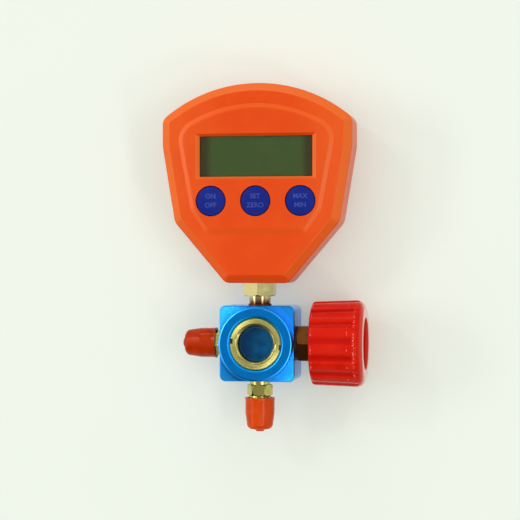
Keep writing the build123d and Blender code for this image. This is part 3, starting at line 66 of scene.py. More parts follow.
# ---- bench, light and camera ---------------------------------------------------------------------------
# The gauge lies on its back on a pale matt bench, which stands upright in this frame. Soft lamps to the left
# and right throw one faint shadow each, and weaker ones lie beyond two corners and the top edge.
class Wire:
    """A shader socket that formulas are written with: arithmetic adds Math nodes, add() any other node."""

    def __init__(self, socket):
        self.socket = socket
        self.tree = socket.id_data

    def add(self, kind, settings=(), inputs=(), output=0):
        """One new node: its settings are made first, then its sockets are set or linked."""
        node = self.tree.nodes.new("ShaderNode" + kind)
        for name, value in dict(settings).items():
            setattr(node, name, value)
        for name, value in dict(inputs).items():
            if isinstance(value, Wire):
                self.tree.links.new(value.socket, node.inputs[name])
            else:
                node.inputs[name].default_value = value
        return Wire(node.outputs[output])

    def math(self, operation, first, second=0.0):
        return self.add("Math", {"operation": operation}, {0: first, 1: second})

    def __add__(self, other):
        return self.math("ADD", self, other)

    def __sub__(self, other):
        return self.math("SUBTRACT", self, other)

    def __rsub__(self, other):
        return self.math("SUBTRACT", other, self)

    def __mul__(self, other):
        return self.math("MULTIPLY", self, other)

    def __truediv__(self, other):
        return self.math("DIVIDE", self, other)

    def __neg__(self):
        return self * -1.0

    def __abs__(self):
        return self.math("ABSOLUTE", self)

    __radd__ = __add__
    __rmul__ = __mul__

    @property
    def x(self):
        """The first number of a place or direction."""
        return self.add("SeparateXYZ", {}, {0: self}, output=0)

    @property
    def y(self):
        """The second number of a place or direction."""
        return self.add("SeparateXYZ", {}, {0: self}, output=1)

    @property
    def z(self):
        """The third number of a place or direction."""
        return self.add("SeparateXYZ", {}, {0: self}, output=2)

    def vector_math(self, operation, other=(0, 0, 0), output=0):
        """This place or direction put through a Vector Math node with another; output 1 is a number."""
        return self.add("VectorMath", {"operation": operation}, {0: self, 1: other}, output=output)

    def between(self, low, high):
        """Rises smoothly from 0 at low to 1 at high."""
        sockets = {"Value": self, "From Min": low, "From Max": high}
        return self.add("MapRange", {"interpolation_type": "SMOOTHSTEP"}, sockets)

    def mix(self, first, second):
        """The first colour where this mask is 0 and the second where it is 1."""
        return self.add("Mix", {"data_type": "RGBA"}, {0: self, 6: first, 7: second}, output=2)

    def noise(self, size, detail):
        """Cloudy noise, 0 to 1, whose blotches are about this long; self is a place."""
        return self.add("TexNoise", {}, {"Vector": self, "Scale": 1 / size, "Detail": detail})

    def stretched(self, x, y, z):
        """The same place with its axes scaled, so that a pattern on it runs long or short."""
        return self.add("Mapping", {}, {"Vector": self, "Scale": (x, y, z)})

    def sheen(self, refractive_index):
        """How much a clear skin mirrors: a little face-on, and all of it at a grazing look."""
        return self.add("Fresnel", {}, {"IOR": refractive_index})

    def bump(self, depth, below=None):
        """A normal dented by this height, at full depth where the height is 1."""
        sockets = {"Distance": depth, "Height": self}
        if below is not None:
            sockets["Normal"] = below
        return self.add("Bump", {}, sockets)


def colour(red, green, blue):
    """A display colour, 0 to 255 a channel, as the linear one that shaders take."""
    levels = [channel / 255 for channel in (red, green, blue)]
    linear = [v / 12.92 if v <= 0.04045 else ((v + 0.055) / 1.055) ** 2.4 for v in levels]
    return (*linear, 1.0)


def dimmed(tint, share):
    """A colour with this share of its light."""
    return (*[channel * share for channel in tint[:3]], 1.0)


def new_finish(name, **constants):
    """A material with its constant sockets set; returns it and the place on the piece's surface."""
    material = bpy.data.materials.new(name)
    material.use_nodes = True
    surface = material.node_tree.nodes["Principled BSDF"]
    for socket, value in constants.items():
        surface.inputs[socket.replace("_", " ")].default_value = value
    return material, Wire(material.node_tree.nodes.new("ShaderNodeTexCoord").outputs["Object"])


def feed(material, **wires):
    """Links what varies over the surface to the material's shader."""
    surface = material.node_tree.nodes["Principled BSDF"]
    for socket, wire in wires.items():
        material.node_tree.links.new(wire.socket, surface.inputs[socket.replace("_", " ")])


def ray_kinds(tree):
    """Masks for the kinds of ray that look at a surface or at the sky, by name."""
    outputs = tree.nodes.new("ShaderNodeLightPath").outputs
    return {output.name: Wire(output) for output in outputs}


crease = math.radians(35)


def sheet_of_points(name, points, round_u=False, round_v=False):
    """A mesh over an (m, n, 3) grid of points, quads between neighbours, joined up where it closes.

    It is shaded smooth, apart from edges that turn by more than the crease."""
    rows, columns = points.shape[:2]
    index = np.arange(rows * columns).reshape(rows, columns)
    if round_u:
        index = np.vstack([index, index[:1]])
    if round_v:
        index = np.hstack([index, index[:, :1]])
    quads = np.stack([index[:-1, :-1], index[1:, :-1], index[1:, 1:], index[:-1, 1:]], axis=-1)
    mesh = bpy.data.meshes.new(name)
    mesh.from_pydata(points.reshape(-1, 3).tolist(), [], quads.reshape(-1, 4).tolist())
    mesh.shade_smooth()
    mesh.set_sharp_from_angle(angle=crease)
    piece = bpy.data.objects.new(name, mesh)
    bpy.context.collection.objects.link(piece)
    return piece


bench_gap = 0.4 * mm
bench_reach = 1.6
bench_white = colour(242, 248, 237)
bench_glow = 0.3
blotch_depth = 0.015

# A share of the bench's white is only for looking at and doesn't light the gauge, which keeps shadows faint.
bench_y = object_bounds()[1].y + bench_gap
edge = np.linspace(-bench_reach, bench_reach, 9)
bench_points = np.stack(np.broadcast_arrays(edge[None, :], bench_y, -edge[:, None]), axis=-1)
bench = sheet_of_points("bench", bench_points)
bench_finish, place = new_finish(
    "pale_bench", Roughness=0.75, Specular_IOR_Level=0.2, Emission_Strength=bench_glow
)
bench_pale = dimmed(bench_white, 1 - bench_glow)
blotch = place.noise(90 * mm, 2).between(0.3, 0.7)
rays = ray_kinds(bench_finish.node_tree)
watched = rays["Is Camera Ray"] + rays["Is Glossy Ray"] + rays["Is Transmission Ray"]
feed(
    bench_finish,
    Base_Color=blotch.mix(bench_pale, dimmed(bench_pale, 1 - blotch_depth)),
    Emission_Color=watched.mix(colour(0, 0, 0), bench_white),
)
bench.data.materials.append(bench_finish)

# Seen from behind, and for light that comes from behind, the bench isn't there.
tree = bench_finish.node_tree
backface = place.add("NewGeometry", output="Backfacing")
hidden = place.math("MAXIMUM", rays["Is Shadow Ray"], backface)
clear = place.add("BsdfTransparent")
blend = place.add("MixShader", {}, {0: hidden, 1: Wire(tree.nodes["Principled BSDF"].outputs[0]), 2: clear})
tree.links.new(blend.socket, tree.nodes["Material Output"].inputs["Surface"])

# The room is pale at its sides and dark behind the onlooker and below, and metal and gloss also mirror its
# bright windows: a tall one on the left and the right, and smaller ones towards three corners.
world = bpy.data.worlds.new("studio")
world.use_nodes = True
bpy.context.scene.world = world
sky = world.node_tree.nodes["Background"]
rays = ray_kinds(world.node_tree)
seen, glossy, through = (rays[f"Is {kind} Ray"] for kind in ("Camera", "Glossy", "Transmission"))
looking = seen.add("TexCoord", output="Generated")
facing = (-looking.y).between(0.2, 1.0)
onlooker = (-looking.y).between(0.25, 0.6)
below = (-looking.z).between(0.1, 0.8)
above = looking.z.between(0.3, 0.9)
level = 1 - abs(looking.z).between(0.35, 0.6)
ambient = 0.34 + facing * 0.72 - below * 0.26
mirrored_room = 1.1 - onlooker * 0.7 - below * 0.7 - above * 0.35

# A tall window's way outward, where its near and its far edge fade, and its brightness.
tall_windows = (
    (-looking.x, (0.64, 0.74), (0.86, 0.93), 2.4),
    (looking.x, (0.44, 0.54), (0.68, 0.78), 2.2),
)
for outward, inner_edge, outer_edge, brightness in tall_windows:
    window = outward.between(*inner_edge) * (1 - outward.between(*outer_edge)) * level
    mirrored_room = mirrored_room + window * brightness

# A corner window's direction and its brightness.
corner_windows = (
    ((-0.55, -0.71, 0.44), 2.4),
    ((0.30, -0.82, -0.48), 2.7),
    ((0.27, -0.83, 0.48), 1.3),
)
for towards, brightness in corner_windows:
    nearness = looking.vector_math("DOT_PRODUCT", towards, output=1)
    mirrored_room = mirrored_room + nearness.between(0.92, 0.98) * brightness

strength = ambient + glossy * (mirrored_room - ambient)
strength = strength + seen.math("MAXIMUM", seen, through) * (1.0 - strength)
world.node_tree.links.new(strength.socket, sky.inputs["Strength"])
sky.inputs["Color"].default_value = colour(252, 253, 250)

view_centre = Vector((0, -15 * mm, 41.4 * mm))
view_distance = 800 * mm
view_angle = math.radians(9.5)
view_lens = 110.8
towards_camera = Vector((math.sin(view_angle), -math.cos(view_angle), 0))


def stand(thing, place_at):
    """Stands a lamp or the camera at a place and points it at the middle of the view."""
    thing.location = place_at
    thing.rotation_euler = (view_centre - thing.location).to_track_quat("-Z", "Y").to_euler()
    bpy.context.collection.objects.link(thing)


# Each lamp's place, width, height and power.
lamps = {
    "left_lamp": ((-1.75, -1.25, 0.30), 0.35, 0.80, 7.0),
    "upper_lamp": ((-1.20, -1.50, 1.10), 0.25, 0.25, 3.5),
    "right_lamp": ((1.25, -1.72, -0.05), 0.35, 0.70, 4.2),
    "lower_lamp": ((1.30, -1.50, -0.90), 0.25, 0.25, 3.0),
    "top_lamp": ((-0.20, -0.70, 2.00), 0.90, 0.35, 3.5),
    "rear_lamp": ((0.30, 1.30, 0.90), 1.20, 0.90, 7.0),
}
for name, (place_at, width, height, watts) in lamps.items():
    lamp = bpy.data.lights.new(name, "AREA")
    lamp.shape = "RECTANGLE"
    lamp.size, lamp.size_y = width, height
    lamp.energy = watts
    stand(bpy.data.objects.new(name, lamp), place_at)

camera = bpy.data.objects.new("camera", bpy.data.cameras.new("camera"))
camera.data.lens = view_lens
stand(camera, view_centre + view_distance * towards_camera)
bpy.context.scene.camera = camera
bpy.context.scene.view_settings.view_transform = "Standard"


# ---- head covers and battery door ----------------------------------------------------------------------
# Two shells and a door moulded in bright orange ABS with a fine spark-eroded grain. Slopes that face sideways
# and up, and faintly the two sides, carry a paler painted highlight where light falls, and the specks are
# dust in the plastic.
def dress(material, *names):
    """Puts one finish on CAD nodes."""
    for name in names:
        node = nodes[name]
        node.data.materials.clear()
        node.data.materials.append(material)


def outward_normal(material):
    """The way the surface faces, in the piece's own axes."""
    return Wire(material.node_tree.nodes["Texture Coordinate"].outputs["Normal"])


def moulded_skin(material, place, bloom, grain_size, grain_depth, gloss):
    """Gives plastic a fine all-over grain, and a gloss that is uneven where it blooms and where it rubs."""
    grain = place.noise(grain_size, 2)
    rub = place.stretched(1, 1, 6).noise(5 * mm, 4).between(0.55, 0.8)
    feed(material, Roughness=gloss + bloom * 0.06 - rub * 0.05, Normal=grain.bump(grain_depth))


seam_dirt = colour(96, 26, 8)


def moulded_plastic(name, body, pale, grain_size, grain_depth, gloss, shine=0.3, painted_highlight=None, seam=None):
    """Moulded plastic: an even body colour with a faint bloom, dust specks and a fine all-over grain.

    Painted highlight is the paler colour painted where light falls: on the slopes that lean back from the
    front, and don't look down, and faintly towards the two sides. Seam is the level in Y of the joint between
    two mouldings, where dirt gathers."""
    material, place = new_finish(name, Specular_IOR_Level=shine)
    bloom = place.noise(14 * mm, 3).between(0.35, 0.75)
    speck = place.noise(0.5 * mm, 1).between(0.73, 0.78)
    tint = (bloom * 0.5 + speck * 0.35).mix(body, pale)
    # Painted highlight: a paler colour on slopes facing sideways and up, and faintly on the two sides, where
    # light falls.
    if painted_highlight:
        outward = outward_normal(material)
        front = -outward.y
        lit_slope = front.between(0.25, 0.6) * (1 - front.between(0.86, 0.99)) * outward.z.between(-0.6, -0.15)
        lit_sides = abs(place.x).between(12 * mm, 44 * mm)
        tint = (lit_slope * 0.75).mix((lit_sides * 0.24).mix(tint, painted_highlight), painted_highlight)
    if seam:
        away = abs(place.y - seam)
        tint = ((1 - away.between(0.08 * mm, 0.3 * mm)) * 0.75).mix(tint, seam_dirt)
    feed(material, Base_Color=tint)
    moulded_skin(material, place, bloom, grain_size, grain_depth, gloss)
    return material


# The third colour is the painted highlight of the lit slopes and sides.
body_orange, pale_orange, highlight_orange = colour(233, 73, 3), colour(239, 85, 10), colour(250, 118, 46)
parting_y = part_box("front_cover")[1].y
orange_plastic = moulded_plastic(
    "orange_plastic", body_orange, pale_orange, 0.45 * mm, 0.015 * mm, 0.3, 0.17, highlight_orange, parting_y
)
dress(orange_plastic, "front_cover", "rear_cover", "battery_door")


# ---- display -------------------------------------------------------------------------------------------
# A reflective liquid-crystal glass, unlit, darkened towards each end by painted shade, under a clear
# acrylic window. Behind it are the black frame, the light guide and the rubber contact strip.
def clear_sheet(name, depth_of_tint, gloss, shine, **constants):
    """A clear sheet with faint smears: denser to look through at a slant, and tinted by this share face-on.

    It returns the material and the place on its surface."""
    material, place = new_finish(name, Specular_IOR_Level=shine, **constants)
    smear = place.noise(9 * mm, 4).between(0.45, 0.75)
    feed(material, Roughness=gloss + smear * 0.08, Alpha=place.sheen(1.45) + smear * 0.02 + depth_of_tint)
    return material, place


end_shade_width = 7.6 * mm
glass_low, glass_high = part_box("lcd_panel")
end_shade_edge = (glass_high.x - glass_low.x) / 2 - end_shade_width
lcd_glass, place = new_finish("lcd_glass", Specular_IOR_Level=0.06)
# Painted shade: each end of the glass is darker, standing for the shade of the window's edges.
end_shade = abs(place.x).between(end_shade_edge - 1.5 * mm, end_shade_edge + 3 * mm)
cell_tint = place.noise(20 * mm, 2).mix(colour(89, 116, 56), colour(95, 122, 60))
haze = place.noise(5 * mm, 3)
feed(
    lcd_glass,
    Base_Color=end_shade.mix(cell_tint, colour(82, 74, 32)),
    Roughness=0.25 + haze * 0.15,
    Normal=haze.bump(0.002 * mm),
)
dress(lcd_glass, "lcd_panel")
clear_window = clear_sheet("clear_window", 0.02, 0.06, 0.2, Base_Color=colour(116, 122, 108))[0]
dress(clear_window, "display_window")

black_plastic = moulded_plastic(
    "black_plastic", colour(26, 26, 27), colour(44, 44, 45), 0.3 * mm, 0.02 * mm, 0.5
)
white_plastic = moulded_plastic(
    "white_plastic", colour(226, 226, 218), colour(236, 236, 230), 0.3 * mm, 0.01 * mm, 0.45
)
black_rubber = moulded_plastic(
    "black_rubber", colour(28, 28, 28), colour(58, 56, 54), 0.2 * mm, 0.02 * mm, 0.75
)
dress(black_plastic, "lcd_frame")
dress(white_plastic, "backlight")
dress(black_rubber, "display_connector")


# ---- buttons -------------------------------------------------------------------------------------------
# Three domed keys in dark blue ABS. Each carries two short rows of raised lettering, moulded with it and
# painted paler as a highlight where its edges catch the light, and presses the black plunger of a switch.
legends = {"left": ("ON", "OFF"), "middle": ("SET", "ZERO"), "right": ("MAX", "MIN")}
key_radius = 7.1 * mm
dome_height = 0.5 * mm
letter_height = 3.3 * mm
letter_weight = 0.07 * mm
letter_rise = 0.16 * mm
letter_bevel = 0.04 * mm
row_pitch = 4.4 * mm
blue_plastic = moulded_plastic(
    "blue_plastic", colour(14, 33, 131), colour(25, 44, 143), 0.4 * mm, 0.015 * mm, 0.3, 0.14
)
# The letters' paler colour is a painted highlight for light caught on their edges.
letter_highlight_blue = moulded_plastic(
    "letter_highlight_blue", colour(52, 68, 160), colour(70, 86, 176), 0.2 * mm, 0.01 * mm, 0.22
)


def raised_words(name, words, middle, crown_y):
    """Two rows of letters that stand a little proud of a domed key.

    A point's depth is the crown's, plus the dome's height times the square of its distance from the middle
    over the square of the key's radius, less its own height in the letter."""
    parts = []
    for row, word in enumerate(words):
        text = bpy.data.curves.new(name, "FONT")
        text.body = word
        text.size = letter_height
        text.align_x, text.align_y = "CENTER", "CENTER"
        text.extrude = letter_rise
        text.offset = letter_weight
        text.bevel_depth = letter_bevel
        lettering = bpy.data.objects.new(name, text)
        bpy.context.collection.objects.link(lettering)
        bpy.context.view_layer.update()
        mesh = bpy.data.meshes.new_from_object(lettering)
        bpy.data.objects.remove(lettering)
        points = np.empty(3 * len(mesh.vertices))
        mesh.vertices.foreach_get("co", points)
        flat = points.reshape(-1, 3)
        x = flat[:, 0]
        z = flat[:, 1] + (0.5 - row) * row_pitch
        sag = dome_height * (x ** 2 + z ** 2) / key_radius ** 2
        placed = np.stack([middle.x + x, crown_y + sag - flat[:, 2], middle.z + z], axis=1)
        mesh.vertices.foreach_set("co", placed.ravel())
        parts.append(bpy.data.objects.new(name, mesh))
        bpy.context.collection.objects.link(parts[-1])
    bpy.ops.object.select_all(action="DESELECT")
    for part in parts:
        part.select_set(True)
    bpy.context.view_layer.objects.active = parts[0]
    bpy.ops.object.join()
    return parts[0]


for side, words in legends.items():
    dress(blue_plastic, f"{side}_button")
    dress(black_plastic, f"{side}_switch_plunger")
    low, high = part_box(f"{side}_button")
    letters = raised_words(f"{side}_button_letters", words, (low + high) / 2, low.y)
    letters.data.materials.append(letter_highlight_blue)
    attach(letters, f"{side}_key")


# ---- manifold block ------------------------------------------------------------------------------------
# Machined aluminium, anodised bright blue. The face round the boss was turned about the sight glass, which
# leaves fine rings, and the sides were milled.
def distance_to_axis(place, centre, across=(1, 0, 1)):
    """How far a place is from an axis through the centre, measured across that axis."""
    flat = place.vector_math("SUBTRACT", centre).stretched(*across)
    return flat.vector_math("LENGTH", output=1)


def turned_rings(radius, pitch):
    """The height of fine tool rings, with an uneven pitch: a sine of the radius and a noise along it."""
    jitter = radius.add("TexNoise", {"noise_dimensions": "1D"}, {"W": radius / pitch, "Scale": 1.0})
    return radius.math("SINE", radius * (2 * math.pi / pitch)) * 0.5 + jitter * 0.6


def anodised(name, tint, deep, rim_highlight_tint, centre, hole_radius, boss_radius, roll, ring_pitch, ring_depth):
    """Anodised metal: a soft sheen with faint stains, and turned rings round an axis along Y beyond the boss.

    Tint is the dye's colour and deep its colour on the boss. Over the last stretch, roll, towards the hole
    and towards the boss's edge the face rolls over, and it carries a paler painted highlight there."""
    material, place = new_finish(name, Metallic=1.0, Coat_Roughness=0.12)
    radius = distance_to_axis(place, centre)
    stain = place.noise(6 * mm, 4).between(0.35, 0.8)
    front = (-outward_normal(material).y).between(0.85, 0.95)
    faced = radius.between(boss_radius, boss_radius + 0.2 * mm) * front
    rim = radius.between(boss_radius - roll, boss_radius)
    face = (radius.between(hole_radius, hole_radius + roll) - rim) * front
    # Painted highlight: the rolled rims by the hole and at the boss's edge are paler.
    rim_highlight = (1 - radius.between(hole_radius, hole_radius + roll * 0.6) + rim) * (front - faced)
    dyed = (front - faced) * 0.85 + stain * 0.15
    milled = place.stretched(1, 1, 14).noise(3 * mm, 2)
    rolled = face.bump(roll * 0.28, below=(place.noise(0.25 * mm, 2) + milled * 2.0).bump(0.004 * mm))
    feed(
        material,
        Base_Color=(rim_highlight * 0.3).mix(dyed.mix(tint, deep), rim_highlight_tint),
        Coat_Weight=place.sheen(1.5).between(0.08, 0.35) * 0.45,
        Roughness=0.32 + stain * 0.06 - faced * 0.1,
        Normal=(turned_rings(radius, ring_pitch) * faced).bump(ring_depth, below=rolled),
    )
    return material


block_low, block_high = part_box("manifold_block")
block_centre = (block_low + block_high) / 2
hole_edge, boss_edge, edge_roll = 13.0 * mm, 18.4 * mm, 1.0 * mm
bright_blue, deep_blue, rim_highlight_blue = colour(38, 156, 244), colour(9, 136, 228), colour(140, 212, 252)
blue_anodised = anodised(
    "blue_anodised",
    bright_blue,
    deep_blue,
    rim_highlight_blue,
    block_centre,
    hole_edge,
    boss_edge,
    edge_roll,
    ring_pitch=0.3 * mm,
    ring_depth=0.035 * mm,
)
dress(blue_anodised, "manifold_block")


# ---- sight glass ---------------------------------------------------------------------------------------
# A toughened glass disc with a ground edge, stained by what flows behind it and lighter towards its right as
# a painted reflection, under a turned brass ring with two spanner slots. A rubber gasket seals it.
blue_glass, place = clear_sheet("sight_glass", 0.5, 0.03, 0.2)
# Random residue stains, plus a painted reflection that makes the glass lighter towards its right.
residue_and_sheen = place.noise(5 * mm, 3) + place.x / (26 * mm)
stained_and_lit_glass = residue_and_sheen.between(0.2, 0.9).mix(colour(0, 56, 102), colour(8, 106, 162))
radius = distance_to_axis(place, block_centre)
ground_edge = radius.between(7.9 * mm, 8.1 * mm) * (1 - radius.between(8.25 * mm, 8.45 * mm))
feed(blue_glass, Base_Color=(ground_edge * 0.5).mix(stained_and_lit_glass, colour(96, 160, 178)))
dress(blue_glass, "sight_glass")
dress(black_rubber, "sight_glass_gasket")

# The ring keeps its tool rings on its face, where its inner edge is rolled over with painted shade beyond
# that, and painted shade at the outer end of each spanner slot.
ring_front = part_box("sight_glass_ring")[0].y
ring_brass, place = new_finish("ring_brass", Metallic=1.0)
radius = distance_to_axis(place, block_centre)
# Painted shade at the outer end of each spanner slot, and inside the ring's rolled inner edge.
slot_shade = (place.y - ring_front).between(0.3 * mm, 0.6 * mm) * radius.between(11.2 * mm, 12.0 * mm)
inner_bevel_shade = 1 - radius.between(9.3 * mm, 9.7 * mm)
rolled_lip = radius.between(9.7 * mm, 10.3 * mm).bump(0.2 * mm)
tarnish = place.noise(4 * mm, 4).between(0.4, 0.8)
clean_brass = (tarnish * 0.6).mix(colour(222, 210, 126), colour(196, 182, 94))
feed(
    ring_brass,
    Base_Color=slot_shade.mix((inner_bevel_shade * 0.7).mix(clean_brass, colour(104, 104, 52)), colour(66, 60, 44)),
    Roughness=0.2 + tarnish * 0.1,
    Normal=turned_rings(radius, 0.24 * mm).bump(0.02 * mm, below=rolled_lip),
)
dress(ring_brass, "sight_glass_ring")


# ---- hose ports ----------------------------------------------------------------------------------------
# Brass quarter-inch flare fittings: a shank in the block, a hexagon, a 7/16-20 thread and a 45 degree nose.
def turned_brass(name, tint, deep, gloss, flux=None):
    """Machined brass: warm metal with fine tool marks, a little tarnish and small bright nicks.

    Flux is a level in Z and a colour: below that level the metal has gone dull and takes that colour, which
    fades out above it."""
    material, place = new_finish(name, Metallic=1.0)
    tarnish = place.noise(4 * mm, 4).between(0.4, 0.8)
    nick = place.noise(0.4 * mm, 2).between(0.68, 0.76)
    tool_mark = place.noise(0.12 * mm, 2)
    metal = (tarnish * 0.7).mix(tint, deep)
    if flux:
        level, dull = flux
        metal = (1 - place.z.between(level - 0.4 * mm, level + 4.5 * mm)).mix(metal, dull)
    feed(
        material,
        Base_Color=metal,
        Roughness=gloss + tarnish * 0.12 - nick * 0.1,
        Normal=tool_mark.bump(0.003 * mm),
    )
    return material


hex_across_flats = 11.1 * mm
hex_length = 5.5 * mm
hex_corner_slope = 0.6
shank_radius = 5.0 * mm
shank_length = 9.0 * mm
thread_radius = 5.5 * mm
thread_length = 8.9 * mm
thread_pitch = 1.27 * mm
thread_depth = 0.72 * mm
thread_crest = 0.12
thread_end_gap = 0.01 * mm
flare_length = 2.4 * mm
flare_root_radius = 4.6 * mm
flare_tip_radius = 2.9 * mm
port_bore_radius = 2.4 * mm
rows_on_thread = 110
points_a_turn = 120
port_brass = turned_brass("port_brass", colour(200, 190, 108), colour(158, 150, 78), 0.2)


def hose_port(node, outward, first_corner, third, turn):
    """A flare fitting as one closed sheet: a section from shank to nose, then back down the bore.

    Over the hexagon the radius is the smaller of the flat's at that angle, and of the cone that turns its
    corners off. Over the thread it is the crest less a V groove, which moves on by one pitch a turn and
    fades out at both ends."""
    low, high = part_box(node)
    tip = max(low @ outward, high @ outward)
    middle = (low + high) / 2
    axis_foot = middle - outward * (middle @ outward)
    nose = tip - flare_length
    hex_end = nose - thread_length
    hex_start = hex_end - hex_length
    flat_radius = hex_across_flats / 2
    drop = (flat_radius / math.cos(math.pi / 6) - flat_radius) * hex_corner_slope
    hex_rows = np.array([0, drop / 2, drop, hex_length / 2])
    hex_rows = np.append(hex_rows, hex_length - hex_rows[2::-1])
    thread_rows = np.linspace(hex_end + thread_end_gap, nose - thread_end_gap, rows_on_thread)

    angle = turn - np.linspace(0, 2 * math.pi, points_a_turn, endpoint=False)
    from_corner = np.mod(angle - turn, math.pi / 3) - math.pi / 6
    flat = flat_radius / np.cos(from_corner)
    end_cone = flat_radius + np.minimum(hex_rows, hex_length - hex_rows) / hex_corner_slope
    hexagon = np.minimum(flat[None, :], end_cone[:, None])

    phase = np.mod(thread_rows[:, None] / thread_pitch + angle[None, :] / (2 * math.pi), 1)
    groove = np.clip((np.abs(2 * phase - 1) - thread_crest) / (1 - 2 * thread_crest), 0, 1)
    run_out = np.clip(np.minimum(thread_rows - hex_end, nose - thread_rows) / thread_pitch, 0, 1)
    thread = thread_radius - thread_depth * groove * run_out[:, None]

    plain = np.ones_like(angle)[None, :]
    rows = np.concatenate([
        [hex_start - shank_length, hex_start - shank_length, hex_start],
        hex_start + hex_rows,
        [hex_end],
        thread_rows,
        [nose, tip, tip, hex_start - shank_length],
    ])
    radii = np.vstack([
        plain * port_bore_radius,
        plain * shank_radius,
        plain * shank_radius,
        hexagon,
        plain * thread_radius,
        thread,
        plain * flare_root_radius,
        plain * flare_tip_radius,
        plain * port_bore_radius,
        plain * port_bore_radius,
    ])
    along = np.array(outward)[None, None, :] * rows[:, None, None]
    spoke = np.cos(angle)[:, None] * np.array(first_corner) + np.sin(angle)[:, None] * np.array(third)
    points = np.array(axis_foot) + along + radii[:, :, None] * spoke[None, :, :]
    port = sheet_of_points(f"{node}_fitting", points[:-1], round_u=True, round_v=True)
    port.data.materials.append(port_brass)
    dress(port_brass, node)
    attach(port, "gauge_body")
    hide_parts(node)


hose_port("left_port", Vector((-1, 0, 0)), Vector((0, 0, 1)), Vector((0, 1, 0)), math.radians(18))
hose_port("bottom_port", Vector((0, 0, -1)), Vector((1, 0, 0)), Vector((0, -1, 0)), 0.0)


# ---- port caps -----------------------------------------------------------------------------------------
# Dipped vinyl caps, pushed on over the flare threads: soft, with slow ripples from dipping. One is darker
# and browner than the other.
def dipped_vinyl(name, tint, deep):
    """Soft vinyl: slow ripples, fine pores and a low gloss."""
    material, place = new_finish(name, Specular_IOR_Level=0.12)
    ripple = place.noise(5 * mm, 1)
    pore = place.noise(0.5 * mm, 1)
    feed(
        material,
        Base_Color=ripple.between(0.3, 0.7).mix(tint, deep),
        Roughness=0.14 + pore * 0.06,
        Normal=pore.bump(0.008 * mm, below=ripple.bump(0.12 * mm)),
    )
    return material


orange_vinyl = dipped_vinyl("orange_vinyl", colour(226, 75, 6), colour(217, 68, 4))
brown_vinyl = dipped_vinyl("brown_vinyl", colour(192, 52, 4), colour(180, 44, 3))
dress(orange_vinyl, "bottom_port_cap")
dress(brown_vinyl, "left_port_cap")


# ---- hand valve ----------------------------------------------------------------------------------------
# A bonnet, gland and stem in brass painted dark brown for the shade and the red knob's reflection between
# block and knob, a brighter holder with its white disc, white packing, and a soft copper washer under the
# bonnet, painted dark for the shade in the gap it sits in.
# Painted shade and reflection: the valve's brass and the copper are dark for the shade between block and
# knob.
shaded_brass = turned_brass("shaded_brass", colour(128, 76, 34), colour(70, 44, 22), 0.36)
bright_brass = turned_brass("bright_brass", colour(222, 206, 138), colour(186, 164, 94), 0.22)
shaded_copper = turned_brass("shaded_soft_copper", colour(86, 42, 28), colour(62, 32, 24), 0.4)
ptfe = moulded_plastic(
    "white_ptfe", colour(232, 232, 228), colour(240, 240, 238), 0.5 * mm, 0.01 * mm, 0.4
)
dress(shaded_brass, "valve_bonnet", "packing_gland", "valve_stem")
dress(bright_brass, "disc_holder")
dress(shaded_copper, "bonnet_washer")
dress(ptfe, "stem_packing", "valve_disc")


# ---- hand knob -----------------------------------------------------------------------------------------
# A fluted wheel in glossy red plastic, with painted shade down in its flutes, and pale spots where the
# ridges end and along the mould's witness line that are partly scuffed nicks and partly painted glints.
# A plated screw and washer in its recess fix it.
ridge_radius = 21.75 * mm
ridge_draft = 0.036
flute_depth = 0.75 * mm
shoulder = 5.2 * mm
knob_low, knob_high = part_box("hand_knob")
# How far in from the knob's end each band of scuffs and painted glints lies, and half its width.
scuff_and_glint_bands = (
    (knob_high.x - knob_low.x - 1.2 * mm, 0.5 * mm),
    (7.4 * mm, 0.25 * mm),
    (4.2 * mm, 0.6 * mm),
)
flute_shade_red, end_sheen_red, scuff_and_glint_pink = colour(190, 13, 6), colour(232, 78, 62), colour(248, 150, 130)

red_plastic, place = new_finish("red_plastic", Specular_IOR_Level=0.06)
from_end = knob_high.x - place.x
ridge = ridge_radius - from_end * ridge_draft
on_flutes = from_end.between(shoulder - 0.8 * mm, shoulder)
# Painted reflection: the knob's end is paler, for the pale bench it mirrors at a slant.
end_sheen = 1 - from_end.between(0.8 * mm, 2.0 * mm)
sink = (ridge - distance_to_axis(place, block_centre, across=(0, 1, 1))) * on_flutes
bloom = place.noise(10 * mm, 3).between(0.35, 0.75)
ridge_red = bloom.mix(colour(216, 26, 10), colour(224, 38, 18))
# Painted shade: the flutes are darker the deeper they sink.
flute_shaded_red = (sink.between(flute_depth * 0.3, flute_depth) * 0.75).mix(ridge_red, flute_shade_red)
# Pale spots in three bands: partly scuffed nicks, partly painted glints where the ridges end.
nick_and_glint_spots = place.noise(0.9 * mm, 1).between(0.56, 0.64) * (1 - sink.between(0.1 * mm, 0.3 * mm))
scuffs_and_glints = sum(1 - abs(from_end - inward).between(spread * 0.4, spread) for inward, spread in scuff_and_glint_bands)
feed(
    red_plastic,
    Base_Color=(nick_and_glint_spots * scuffs_and_glints * 0.7).mix((end_sheen * 0.8).mix(flute_shaded_red, end_sheen_red), scuff_and_glint_pink),
    Coat_Weight=place.sheen(1.5).between(0.1, 0.35),
)
moulded_skin(
    red_plastic, place, place.noise(14 * mm, 3).between(0.35, 0.75), 1.2 * mm, 0.01 * mm, gloss=0.14
)
dress(red_plastic, "hand_knob")


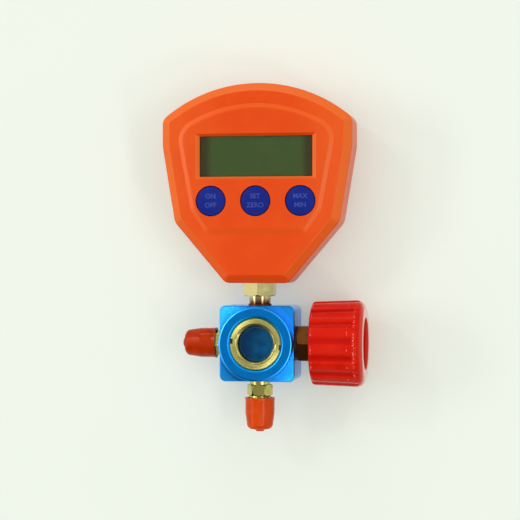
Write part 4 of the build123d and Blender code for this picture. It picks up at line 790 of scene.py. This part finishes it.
def plated_steel(name, tint, gloss):
    """Zinc-plated steel: cool grey with cloudy passivation and fine drawing marks."""
    material, place = new_finish(name, Metallic=1.0)
    cloud = place.noise(2 * mm, 4).between(0.35, 0.75)
    drawn = place.stretched(1, 6, 1).noise(0.15 * mm, 2)
    feed(
        material,
        Base_Color=cloud.mix(tint, dimmed(tint, 0.8)),
        Roughness=gloss + cloud * 0.12,
        Normal=drawn.bump(0.003 * mm),
    )
    return material


steel = plated_steel("plated_steel", colour(196, 198, 200), 0.25)
dress(steel, "knob_washer", "knob_screw")


# ---- gauge stem and sensor -----------------------------------------------------------------------------
# A brass stem with heat and flux stains at its foot, clamped to the head by a nut. The steel pressure cell
# sits on its inner end, and a pale ribbon runs from it to the board.
stem_brass = turned_brass(
    "stem_brass",
    colour(216, 202, 142),
    colour(174, 158, 96),
    0.12,
    flux=(block_high.z + 1.2 * mm, colour(88, 42, 26)),
)
ribbon = moulded_plastic(
    "ribbon_film", colour(228, 222, 206), colour(214, 206, 186), 0.4 * mm, 0.01 * mm, 0.4
)
dress(stem_brass, "gauge_stem")
dress(bright_brass, "stem_nut")
dress(shaded_copper, "stem_washer", "sensor_washer")
dress(steel, "pressure_sensor")
dress(ribbon, "sensor_ribbon")
dress(white_plastic, "ribbon_socket")


# ---- circuit board -------------------------------------------------------------------------------------
# A green lacquered board with a chip sealed in black resin, the switches' black housings, and plated screws.
# The screws that hold the case together are plated too.
board_green = moulded_plastic(
    "board_green", colour(20, 92, 48), colour(32, 112, 60), 0.3 * mm, 0.01 * mm, 0.3
)
resin = moulded_plastic(
    "black_resin", colour(18, 18, 19), colour(36, 36, 38), 1.5 * mm, 0.03 * mm, 0.18
)
dress(board_green, "circuit_board")
dress(resin, "control_chip")
dress(black_plastic, "switch_housings")
dress(steel, "board_screws", "case_screws")


# ---- batteries -----------------------------------------------------------------------------------------
# Two cells in dark jackets, between plated contacts and springs.
cell_jacket = moulded_plastic(
    "cell_jacket", colour(34, 36, 42), colour(52, 54, 60), 0.3 * mm, 0.005 * mm, 0.25
)
dress(cell_jacket, "battery_cells")
dress(steel, "battery_contacts", "battery_springs")
